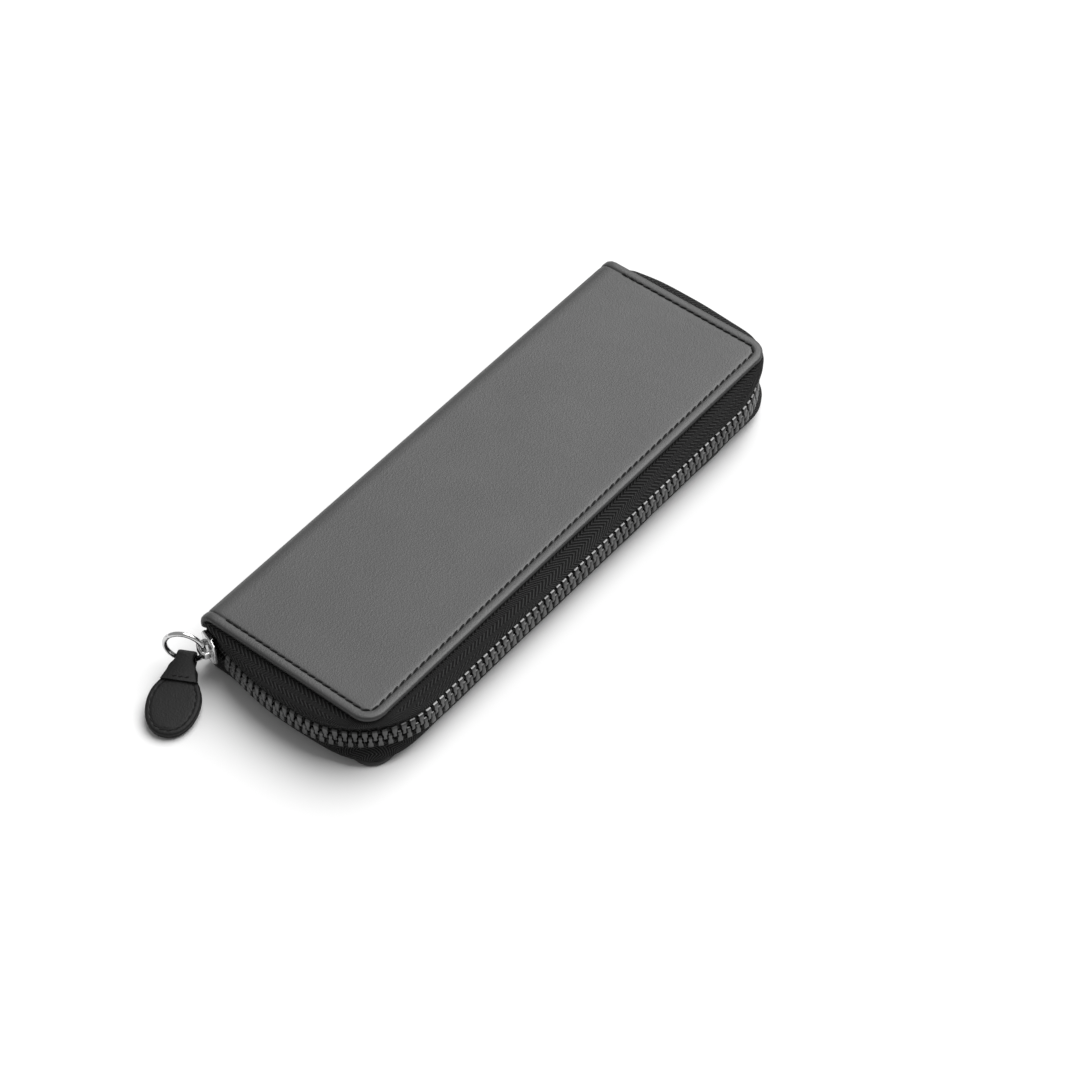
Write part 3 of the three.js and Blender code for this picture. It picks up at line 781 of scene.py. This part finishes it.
def lined(u, y, depth):
    """The lining's flat sheet: up the spine's inside, round its fold and along the cover."""
    notch = LINING_NOTCH * (1 - smooth_step(lining_fold_u - 3, lining_fold_u + 1, u))
    y -= math.copysign(notch * smooth_step(lining_half_length - 12, lining_half_length, abs(y)), y)
    past = u - lining_fold_u
    turn = math.pi / 2 * min(max((past + LINING_FOLD) / (2 * LINING_FOLD), 0.0), 1.0)
    out = Vector((-math.cos(turn), 0, math.sin(turn)))
    round_x = lining_face - half_width + LINING_FOLD
    place = Vector((round_x, y, height - lining_face - LINING_FOLD)) + out * (LINING_FOLD + depth)
    place.x += max(past - LINING_FOLD, 0.0)
    place.z += min(past + LINING_FOLD, 0.0)
    return place


def lining_wave(u, y):
    edge = min(lining_width - u, lining_half_length - abs(y))
    return 0.08 * noise.noise(Vector((u * 0.06, y * 0.05, 7.0))) * smooth_step(1, 8, edge)


# How far in from the edge and how deep. Cloth gets no edge dye and no painted shade.
LINING_EDGE = [
    (LINING_CORNER, LINING_THICKNESS),
    (0.5, LINING_THICKNESS),
    (0.1, 0.42),
    (0.0, 0.25),
    (0.1, 0.08),
    (0.5, 0.0),
    (1.3, 0.0),
    (1.6, 0.1),
    (1.9, 0.0),
    (LINING_CORNER, 0.0),
]
LINING_BORDER = [(inset, depth, 0.0) for inset, depth in LINING_EDGE]


def make_lining(side, turned_over):
    shape = sheet(lining_width, lining_half_length, LINING_CORNER, LINING_BORDER, lined, lining_wave)
    cloth = made(f"{side}_lining_cloth", shape, lining_finish, turned_over)
    start = Vector((lining_face - half_width, 0, height - lining_face - LINING_FOLD))
    end = Vector((lining_face - half_width + LINING_FOLD, 0, height - lining_face))
    start = flipped(start, turned_over)
    end = flipped(end, turned_over)
    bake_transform(cloth)
    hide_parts(f"{side}_lining")
    if side == "top":
        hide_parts("spine_lining")


# ---- Zip ----

chain_reach_x = long_teeth_high.x - TOOTH_HALF_THICKNESS
bow_radius = bow_centre.y - (near_teeth_low.y + TOOTH_HALF_THICKNESS)
corner_x = chain_reach_x - CHAIN_CORNER
centre_distance = bow_radius - CHAIN_CORNER
corner_start = math.degrees(math.asin((corner_x - bow_centre.x) / centre_distance))
corner_y = bow_centre.y - math.sqrt(centre_distance**2 - (corner_x - bow_centre.x) ** 2)


def arc_points(centre_x, centre_y, radius, start, end, count):
    """Points of an arc with the way outward at each, from one angle to another."""
    found = []
    for i in range(count + 1):
        turn = math.radians(start + (end - start) * i / count)
        out = Vector((math.cos(turn), math.sin(turn), 0))
        found.append((Vector((centre_x, centre_y, 0)) + out * radius, out))
    return found


def line_points(start, end, out, count):
    return [(start.lerp(end, i / count), out) for i in range(count + 1)]


def three_sides(near_side, corner, long_side):
    """Near side, corner, long side, and their mirror images on the far side, without repeats."""
    there = near_side + corner[1:]
    back = [(Vector((p.x, -p.y, 0)), Vector((out.x, -out.y, 0))) for p, out in reversed(there)]
    return there + long_side[1:-1] + back


SIDE_COUNT = 44
BEND_COUNT = 40
LONG_COUNT = 110


def chain_line(end_angle):
    near_side = arc_points(
        bow_centre.x, bow_centre.y, bow_radius, -90 - end_angle, -90 + corner_start, SIDE_COUNT
    )
    bend = arc_points(corner_x, corner_y, CHAIN_CORNER, -90 + corner_start, 0, BEND_COUNT)
    start = Vector((chain_reach_x, corner_y, 0))
    end = Vector((chain_reach_x, -corner_y, 0))
    return three_sides(near_side, bend, line_points(start, end, Vector((1, 0, 0)), LONG_COUNT))


def seam_line(inset):
    x = half_width - inset
    y = half_length - inset
    radius = max(CORNER - inset, 0.4)
    start = Vector((TAPE_SPINE_X, -y, 0))
    near_side = line_points(start, Vector((x - radius, -y, 0)), Vector((0, -1, 0)), SIDE_COUNT)
    bend = arc_points(x - radius, radius - y, radius, -90, 0, BEND_COUNT)
    long_start = Vector((x, radius - y, 0))
    long_end = Vector((x, y - radius, 0))
    return three_sides(near_side, bend, line_points(long_start, long_end, Vector((1, 0, 0)), LONG_COUNT))


def tape_shape():
    """Sewn flat under the cover's edge, then bulging out and turning down to the chain."""
    chain = chain_line(TAPE_END_ANGLE)
    flange = seam_line(TAPE_FLANGE_INSET)
    seam = seam_line(TAPE_SEAM_INSET)
    sewn_height = height - leather - TAPE_DEPTH
    shape = Shape()
    rows = []
    travelled = 0.0
    for i, (at, out) in enumerate(chain):
        travelled += (at - chain[i - 1][0]).length if i else 0.0
        between = seam[i][0].lerp(at, 0.5)
        pucker = 0.5 * noise.noise(Vector((at.x * 0.09, at.y * 0.09, 1.0)))
        far = max(out.y, 0.0) * smooth_step(TAPE_SPINE_X - 1, TAPE_SPINE_X + 6, at.x)
        far *= 1 - 0.7 * smooth_step(-18, 14, at.x)
        bulge = BULGE + pucker + FAR_BULGE * far
        knots = [
            flange[i][0] + UP * sewn_height,
            seam[i][0] + out * 0.1 + UP * sewn_height,
            between + out * bulge + UP * (middle + TAPE_FULLEST + 0.5 * far),
            at + out * 0.15 + UP * (middle + TAPE_TURN),
            at + UP * (middle + TAPE_FALL),
            at + UP * (middle + CORD_HEIGHT),
        ]
        curve = smooth_curve(knots, 5)
        across = 0.0
        row = []
        for k, place in enumerate(curve):
            across += (place - curve[k - 1]).length if k else 0.0
            row.append(shape.point(place, (travelled, across)))
        rows.append(row)
    shape.quads(rows)
    return shape


def make_tape(name, node, body, turned_over):
    tape = made(name, tape_shape(), tape_finish, turned_over)
    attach(tape, body)
    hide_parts(node)
    thick = tape.modifiers.new("cloth_thickness", "SOLIDIFY")
    thick.thickness = TAPE * MM
    thick.offset = 0
    cord = Shape()
    path = [at + Vector((0, 0, middle + CORD_HEIGHT)) for at, _ in chain_line(TAPE_END_ANGLE)]
    tube(cord, path, [TAPE_CORD] * len(path), sides=10)
    edge = made(f"{name}_cord", cord, tape_finish, turned_over)
    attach(edge, body)


# One side of a tooth, across and up, from its jaws to its head
TOOTH_OUTLINE = [
    (0.74, 3.35),
    (0.82, 3.1),
    (0.82, 1.45),
    (0.62, 1.05),
    (0.5, 0.6),
    (0.6, 0.2),
    (0.6, -0.6),
    (0.42, -0.95),
]
TOOTH_CENTRE = 1.25
# How far out and how large the outline is, from a tooth's middle to its outer face
TOOTH_ROUNDING = [(0.3, 1.0), (0.8, 0.95), (1.08, 0.82), (TOOTH_HALF_THICKNESS, 0.6)]
TOOTH_DEPTHS = [(-depth, size) for depth, size in reversed(TOOTH_ROUNDING)] + TOOTH_ROUNDING


def tooth(shape, at, out, along):
    """One tooth: two jaws clamped on the cord, a neck, and the head that reaches into the other row."""
    outline = TOOTH_OUTLINE + [(-x, z) for x, z in reversed(TOOTH_OUTLINE)]
    rows = []
    for depth, size in TOOTH_DEPTHS:
        row = []
        for x, z in outline:
            lift = middle + TOOTH_CENTRE + (z - TOOTH_CENTRE) * size
            row.append(shape.point(at + along * x * size + out * depth + Vector((0, 0, lift))))
        rows.append(row)
    shape.quads(rows, closed=True)
    shape.face(reversed(rows[0]))
    shape.face(rows[-1])


def along_chain(distances):
    """Points of the chain at those distances from its spine end, with the ways outward and along."""
    line = chain_line(CHAIN_END_ANGLE)
    travelled = [0.0]
    for (first, _), (second, _) in zip(line, line[1:]):
        travelled.append(travelled[-1] + (second - first).length)
    found = []
    i = 0
    for distance in distances:
        while i < len(line) - 2 and travelled[i + 1] < distance:
            i += 1
        share = (distance - travelled[i]) / (travelled[i + 1] - travelled[i])
        at = line[i][0].lerp(line[i + 1][0], share)
        out = line[i][1].lerp(line[i + 1][1], share).normalized()
        found.append((at, out, Vector((-out.y, out.x, 0))))
    return found, travelled[-1]


degree_of_bow = math.radians(1) * bow_radius
slider_line = crown_pivot - bow_centre
slider_angle = math.degrees(math.atan2(-slider_line.x, -slider_line.y))
slider_distance = (CHAIN_END_ANGLE - slider_angle) * degree_of_bow
near_side_end = (CHAIN_END_ANGLE + corner_start) * degree_of_bow
first_tooth = math.ceil((slider_distance + SLIDER_HALF_LENGTH + FIRST_TOOTH_GAP) / TOOTH_PITCH + 0.5)
last_near_tooth = math.floor(near_side_end / TOOTH_PITCH) - 1
_, chain_length = along_chain([])
last_tooth = math.floor((chain_length - LAST_TOOTH_DEGREES * degree_of_bow) / TOOTH_PITCH) - 1


def make_teeth(side, body, turned_over):
    shift = -0.5 if turned_over else 0.0
    runs = {"near": (first_tooth, last_near_tooth), "long": (last_near_tooth + 1, last_tooth)}
    for run, (first, last) in runs.items():
        places, _ = along_chain([(i + shift) * TOOTH_PITCH for i in range(first, last + 1)])
        shape = Shape()
        for at, out, along in places:
            tooth(shape, at, out, along)
        row = made(f"{side}_teeth_{run}", shape, teeth_finish, turned_over, sharp=35)
        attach(row, body)
        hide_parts(f"{side}_zip_teeth_{run}")


def make_stop(name, node, body, distance, sizes, turned_over=False):
    """A strip of metal bent round the tape's cord and squeezed shut."""
    half_along, half_thickness, low, high = sizes
    at, out, along = along_chain([distance])[0][0]
    seat = Matrix((along, out, UP)).transposed().to_4x4()
    seat.translation = at + Vector((0, 0, middle))
    shape = Shape()
    outline = oblong(-half_along, -half_thickness, half_along, half_thickness)
    bevelled(shape, outline, low, high, seat, 0.16)
    stop = made(name, shape, nickel_finish, turned_over, sharp=30)
    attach(stop, body)
    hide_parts(node)


def make_zip():
    make_tape("upper_tape", "upper_zip_tape", "top", False)
    make_tape("lower_tape", "lower_zip_tape", "bottom", True)
    make_teeth("upper", "top", False)
    make_teeth("lower", "bottom", True)
    make_stop("upper_stop", "upper_top_stop", "top", TOP_STOP_AT, TOP_STOP)
    make_stop("lower_stop", "lower_top_stop", "bottom", TOP_STOP_AT, TOP_STOP, True)
    end_distance = (last_tooth + 1) * TOOTH_PITCH + END_STOP_GAP
    make_stop("end_stop", "zip_bottom_stop", "bottom", end_distance, END_STOP)


# ---- Slider, ring and tab ----


def arch(half_along, foot, reach, squareness, count):
    """Points of a flat-topped arch from foot to foot."""
    points = []
    for i in range(count + 1):
        turn = math.pi * i / count
        x = math.copysign(abs(math.cos(turn)) ** squareness, math.cos(turn)) * half_along
        points.append((x, foot + (reach - foot) * math.sin(turn) ** squareness))
    return points


slider_out = slider_line.normalized()
slider_out.z = 0
slider_along = Vector((-slider_out.y, slider_out.x, 0))
slider_centre = Vector((bow_centre.x, bow_centre.y, middle)) + slider_out * bow_radius
slider_face = SLIDER_CHANNEL + SLIDER_WALL


def slider_seat(first, second, third):
    seat = Matrix((first, second, third)).transposed().to_4x4()
    seat.translation = slider_centre
    return seat


def plate_outline(front, back, tall):
    """One plate along the chain and up: notched at the front, with its corners cut off."""
    return [
        (front, -tall + 1.4),
        (front + 0.9, -tall),
        (back - 2.2, -tall),
        (back - 0.5, -tall + 1.1),
        (back, -tall + 2.4),
        (back, tall - 2.4),
        (back - 0.5, tall - 1.1),
        (back - 2.2, tall),
        (front + 0.9, tall),
        (front, tall - 1.4),
        (front + 0.4, 0.0),
    ]


def make_plates():
    """Two plates with turned-in flanges and a bridge between them, drawn flat and growing outward."""
    seat = slider_seat(slider_along, UP, slider_out)
    front = SLIDER_FRONT - SLIDER_HALF_LENGTH
    back = SLIDER_HALF_LENGTH
    tall = SLIDER_HALF_HEIGHT
    body = Shape()
    outline = plate_outline(front, back, tall)
    bevelled(body, outline, SLIDER_CHANNEL, slider_face, seat, 0.3)
    bevelled(body, outline, -slider_face, -SLIDER_CHANNEL, seat, 0.3)
    for edge in (1, -1):
        low, high = sorted((edge * (tall - 0.62), edge * (tall - 0.02)))
        flange = oblong(front + 1.0, low, back - 2.3, high)
        bevelled(body, flange, 0.75, slider_face - 0.1, seat, 0.15)
        bevelled(body, flange, 0.1 - slider_face, -0.75, seat, 0.15)
    bridge = [(front + 0.5, 0.0), (front + 1.1, -0.9), (front + 2.0, 0.0), (front + 1.1, 0.9)]
    bevelled(body, bridge, -SLIDER_CHANNEL - 0.2, SLIDER_CHANNEL + 0.2, seat, 0.12)
    plates = made("slider_plates", body, nickel_finish, sharp=30)
    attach(plates, "slider")
    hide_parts("slider_body")


def make_crown():
    """The bow that the ring hangs in, drawn along the chain and outward, and growing upward."""
    seat = slider_seat(slider_along, slider_out, UP)
    foot = slider_face - 0.15
    outer = arch(CROWN_HALF_LENGTH, foot, CROWN_REACH, 0.5, 24)
    inner = arch(CROWN_HALF_LENGTH - 0.95, foot, CROWN_REACH - 0.62, 0.5, 24)
    crown = Shape()
    bevelled(crown, outer + inner[::-1], -CROWN_HALF_WIDTH, CROWN_HALF_WIDTH, seat, 0.28)
    bow = made("slider_crown_bow", crown, nickel_finish, sharp=30)
    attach(bow, "slider")
    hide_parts("slider_crown")


def make_ring():
    """A ring of round wire, its two ends butted together."""
    radius = crown_pivot.z - tab_eye.z
    centre = crown_pivot + ring_line * radius
    steps = 96
    joint_at = steps // 8
    path = []
    radii = []
    for i in range(steps):
        turn = 2 * math.pi * i / steps
        path.append(centre + (ring_line * math.cos(turn) + Vector((0, 0, math.sin(turn)))) * radius)
        radii.append(RING_WIRE - (0.09 if i == joint_at else 0.0))
    shape = Shape()
    tube(shape, path, radii, sides=20, closed=True)
    ring = made("pull_ring_wire", shape, nickel_finish)
    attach(ring, "ring")
    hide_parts("pull_ring")


tab_out = Vector((-ring_line.y, ring_line.x, 0))
tab_along = tab_out * math.cos(math.radians(TAB_SLOPE)) - Vector((0, 0, math.sin(math.radians(TAB_SLOPE))))
tab_up = ring_line.cross(tab_along)
if tab_up.z < 0:
    tab_up = -tab_up


def bezier(a, b, c, d, count):
    found = []
    for i in range(count):
        t = i / count
        found.append(a * (1 - t) ** 3 + b * 3 * t * (1 - t) ** 2 + c * 3 * t * t * (1 - t) + d * t**3)
    return found


def tab_half_outline():
    """The teardrop's edge on one side, from its neck to its tip."""
    neck_end = Vector((TAB_NECK_LENGTH, TAB_NECK))
    widest = Vector((TAB_WIDEST_AT, TAB_HALF_WIDTH))
    tip = Vector((TAB_REACH, 0))
    points = [Vector((2.4, TAB_NECK))]
    points += bezier(neck_end, Vector((6, TAB_NECK + 1.2)), Vector((8, TAB_HALF_WIDTH)), widest, 18)
    round_tip = Vector((TAB_REACH, 0.62 * TAB_HALF_WIDTH))
    points += bezier(widest, Vector((19, TAB_HALF_WIDTH)), round_tip, tip, 22)
    return [*points, tip]


def tab_place(x, y, lift):
    return tab_eye + tab_along * x + ring_line * y + tab_up * lift


def inset_outline(points, inset):
    """The same closed outline, moved inward."""
    found = []
    for i, here in enumerate(points):
        along = (points[(i + 1) % len(points)] - points[i - 1]).normalized()
        found.append(here + Vector((-along.y, along.x)) * inset)
    return found


# How far in from the edge and how high, from the join between the layers to the middle of the face
TAB_EDGE = [(0.14, 0.0), (0.0, 0.22), (0.0, 0.6), (0.12, 0.95), (0.4, 1.14), (0.9, TAB_HALF_THICKNESS)]
TAB_FACE = [(1.15, 1.2), (TAB_SEAM_INSET, 1.08), (1.55, 1.2), (2.1, 1.24)]


def tab_blade(shape, outline):
    """Two layers of leather sewn face to face, their edges rounded with the join between them."""
    for side in (1, -1):
        rings = []
        for inset, lift in TAB_EDGE + TAB_FACE:
            edge = inset_outline(outline, inset)
            rings.append([shape.point(tab_place(p.x, p.y, side * lift), (p.x, p.y)) for p in edge])
        core_inset, core_lift = TAB_FACE[-1]
        core = inset_outline(outline, core_inset)
        for share in (0.6, 0.2):
            lift = side * (core_lift + 0.1 * (1 - share))
            row = []
            for p in core:
                row.append(shape.point(tab_place(p.x, p.y * share, lift), (p.x, p.y * share)))
            rings.append(row)
        shape.quads(rings, closed=True)
        last = rings[-1]
        count = len(last) // 2
        for i in range(count - 1):
            shape.face((last[i], last[i + 1], last[-2 - i], last[-1 - i]))


def make_tab():
    half = tab_half_outline()
    outline = [Vector((p.x, -p.y)) for p in half] + half[-2::-1]
    blade = Shape()
    tab_blade(blade, outline)
    leaf = made("pull_tab_leaf", blade, tab_finish)
    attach(leaf, "tab")
    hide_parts("pull_tab")

    # The strap goes from the flap on the front, round the ring, and back under the leaf
    radius = TAB_EYE + TAB_WALL / 2
    knots = [(TAB_FLAP_END, 1.62), (5.4, 1.66), (3.4, 1.8), (1.6, 1.95)]
    for degrees in range(80, 281, 20):
        turn = math.radians(degrees)
        knots.append((radius * math.cos(turn), radius * math.sin(turn)))
    knots += [(1.6, -1.8), (3.4, -1.35), (5.4, -0.95)]
    curve = smooth_curve([Vector((x, 0, lift)) for x, lift in knots], 3)
    widths = []
    for p in curve:
        flare = 1.3 * smooth_step(0.8, 3.6, p.x) + 1.5 * smooth_step(TAB_NECK_LENGTH, TAB_FLAP_END + 1.5, p.x)
        widths.append(TAB_NECK + flare)
    strap_shape = Shape()
    path = [tab_place(p.x, 0, p.z) for p in curve]
    strap(strap_shape, path, widths, TAB_WALL / 2 - 0.02, ring_line)
    keeper = made("pull_tab_strap", strap_shape, tab_finish)
    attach(keeper, "tab")

    threads = Shape()
    line = inset_outline(outline, TAB_SEAM_INSET)
    line = [p for p in line if p.x > TAB_FLAP_END - 1.0]
    for side in (1, -1):
        path = [tab_place(p.x, p.y, side * 1.14) for p in line]
        sew_line(threads, path, tab_up * side, 2.1, length=1.6, thread=TAB_THREAD)
    across = spaced(-BAR_TACK_HALF, BAR_TACK_HALF, 0.5)
    bar = [tab_place(TAB_FLAP_END - 1.1, y, BAR_TACK_LIFT) for y in across]
    sew_line(threads, bar, tab_up, 1.7, length=1.35, thread=TAB_THREAD)
    seam = made("pull_tab_stitching", threads, thread_finish)
    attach(seam, "tab")


# ---- Insides ----


def loops_path():
    """The elastic's line across the case: sewn down, over one pen, down, over the next, down."""
    base = near_loops_low.z + ELASTIC / 2
    rise = near_loops_high.z - near_loops_low.z - ELASTIC
    end = LOOP_SPACING + LOOP_HALF_WIDTH + ELASTIC + LOOP_FOOT
    points = [Vector((-end, 0, base)), Vector((-end + LOOP_FOOT * 0.6, 0, base))]
    for centre in (-LOOP_SPACING, LOOP_SPACING):
        for i in range(25):
            turn = math.pi * (1 - i / 24)
            x = centre + (LOOP_HALF_WIDTH + ELASTIC / 2) * math.cos(turn)
            points.append(Vector((x, 0, base + rise * math.sin(turn))))
    return points + [Vector((end - LOOP_FOOT * 0.6, 0, base)), Vector((end, 0, base))]


def make_loops(name, node):
    low, high = box_mm(node)
    middle_y = (low.y + high.y) / 2
    half_band = (high.y - low.y) / 2
    path = [p + Vector((0, middle_y, 0)) for p in loops_path()]
    band = Shape()
    strap(band, path, [half_band] * len(path), ELASTIC / 2, Vector((0, 1, 0)))
    elastic = made(name, band, elastic_finish, sharp=60)
    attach(elastic, "bottom")
    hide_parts(node)

    threads = Shape()
    end = path[-1].x - LOOP_FOOT / 2
    top = low.z + ELASTIC
    for x in (-end, end, -0.9, 0.9):
        line = [Vector((x, y, top)) for y in spaced(low.y + 1, high.y - 1, 1.0)]
        sew_line(threads, line, UP, 2.4, length=1.8, thread=LINING_THREAD)
    seam = made(f"{name}_stitching", threads, thread_finish)
    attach(seam, "bottom")


def round_edge(rows):
    """The points round the edge of a grid, in order."""
    edge = rows[0] + [row[-1] for row in rows[1:]] + rows[-1][-2::-1]
    return edge + [row[0] for row in rows[-2:0:-1]]


def pocket_layer(panel, lift):
    """One side of the pocket's cloth, a little slack away from its seams."""
    rows = []
    for x in spaced(pocket_low.x, pocket_high.x, SHEET_STEP):
        row = []
        for y in spaced(pocket_low.y, pocket_high.y, SHEET_STEP):
            edge = min(x - pocket_low.x, pocket_high.y - abs(y))
            slack = 0.2 * noise.noise(Vector((x * 0.07, y * 0.04, 2.0))) * smooth_step(1, 9, edge)
            row.append(panel.point((x, y, pocket_low.z + lift + abs(slack)), (x, y)))
        rows.append(row)
    panel.quads(rows)
    return rows


def make_pocket_panel():
    """A cloth panel sewn on three sides to the top cover's lining."""
    panel = Shape()
    face = pocket_layer(panel, 0.0)
    back = pocket_layer(panel, pocket_high.z - pocket_low.z)
    panel.quads([round_edge(face), round_edge(back)], closed=True)
    cloth = made("slip_pocket_panel", panel, lining_finish)
    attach(cloth, "top")
    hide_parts("slip_pocket")


def make_pocket_binding():
    """A leather strip folded over the pocket's mouth."""
    binding = Shape()
    centre_x = (binding_low.x + binding_high.x) / 2
    centre_z = (binding_low.z + binding_high.z) / 2
    path = [Vector((centre_x, y, centre_z)) for y in spaced(binding_low.y, binding_high.y, 2.0)]
    half = (binding_high.x - binding_low.x) / 2
    strap(binding, path, [half] * len(path), (binding_high.z - binding_low.z) / 2, Vector((1, 0, 0)))
    strip = made("pocket_mouth_binding", binding, tab_finish)
    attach(strip, "top")
    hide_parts("pocket_binding")


def make_pocket_stitching():
    threads = Shape()
    ys = spaced(-POCKET_SEAM_HALF, POCKET_SEAM_HALF, 2.0)
    mouth = [Vector((binding_low.x + 0.9, y, binding_low.z)) for y in ys]
    left = pocket_low.x + POCKET_SEAM_INSET
    near = pocket_low.y + POCKET_SEAM_INSET
    far = pocket_high.y - POCKET_SEAM_INSET
    corners = [(binding_low.x, near), (left, near), (left, far), (binding_low.x, far)]
    sides = [Vector((x, y, pocket_low.z)) for x, y in corners]
    for line in (mouth, sides):
        sew_line(threads, line, -UP, STITCH_PITCH, thread=LINING_THREAD)
    seam = made("slip_pocket_stitching", threads, thread_finish)
    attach(seam, "top")


# ---- Studio ----


def shine(name, lamp, power, towards):
    """Puts a lamp in the scene, shining from that direction on the case."""
    lamp.energy = power
    light = bpy.data.objects.new(name, lamp)
    light.rotation_mode = "QUATERNION"
    light.rotation_quaternion = Vector(towards).to_track_quat("Z", "Y")
    bpy.context.scene.collection.objects.link(light)
    return light


def soft_sun(name, towards, power, spread):
    """A broad, even light, like a very large softbox."""
    lamp = bpy.data.lights.new(name, "SUN")
    lamp.angle = math.radians(spread)
    shine(name, lamp, power, towards)


def soft_panel(name, place, size, power):
    """A square softbox that faces the case."""
    lamp = bpy.data.lights.new(name, "AREA")
    lamp.size = size
    shine(name, lamp, power, place).location = place


def make_studio():
    floor = Shape()
    reach = 40000
    corners = [(-reach, -reach), (reach, -reach), (reach, reach), (-reach, reach)]
    floor.face([floor.point((x, y, 0), (x, y)) for x, y in corners])
    paper = bpy.data.meshes.new("studio_floor")
    paper.from_pydata([p * MM for p in floor.points], [], floor.faces)
    paper.materials.append(floor_finish)
    ground = bpy.data.objects.new("studio_floor", paper)
    bpy.context.scene.collection.objects.link(ground)

    world = bpy.data.worlds.new("studio")
    world.use_nodes = True
    background = world.node_tree.nodes["Background"]
    background.inputs["Color"].default_value = (1.0, 1.0, 1.0, 1.0)
    background.inputs["Strength"].default_value = 0.4
    bpy.context.scene.world = world
    bpy.context.scene.view_settings.view_transform = "Standard"
    soft_sun("softbox_above", (0.16, 0.45, 0.88), power=4.7, spread=55)
    soft_panel("softbox_behind", (-0.3, 0.7, 0.46), size=0.45, power=1.5)


def make_camera():
    """Looking down from beyond the near zip corner, the zip's long side to the right."""
    heading = math.radians(38.51)
    dip = math.radians(49.69)
    forward = Vector((-math.sin(heading) * math.cos(dip), math.cos(heading) * math.cos(dip), -math.sin(dip)))
    right = Vector((math.cos(heading), math.sin(heading), 0))
    up = right.cross(forward)
    lens = bpy.data.cameras.new("camera")
    lens.lens = 98.5
    lens.sensor_width = 36
    lens.shift_x = -0.0699
    lens.shift_y = 0.0082
    camera = bpy.data.objects.new("camera", lens)
    camera.matrix_world = Matrix((right, up, -forward)).transposed().to_4x4()
    camera.location = (0.35764, -0.39723, 0.61864)
    bpy.context.scene.collection.objects.link(camera)
    bpy.context.scene.camera = camera


make_camera()
make_studio()
for side, turned_over in (("top", False), ("bottom", True)):
    make_cover(side, turned_over)
    make_lining(side, turned_over)
make_zip()
make_plates()
make_crown()
make_ring()
make_tab()
make_loops("near_elastic", "near_pen_loops")
make_loops("far_elastic", "far_pen_loops")
make_pocket_panel()
make_pocket_binding()
make_pocket_stitching()
for board in ("bottom_stiffener_board", "spine_stiffener_board", "top_stiffener_board"):
    for place in frame["nodes"][board].material_slots:
        place.material = board_finish
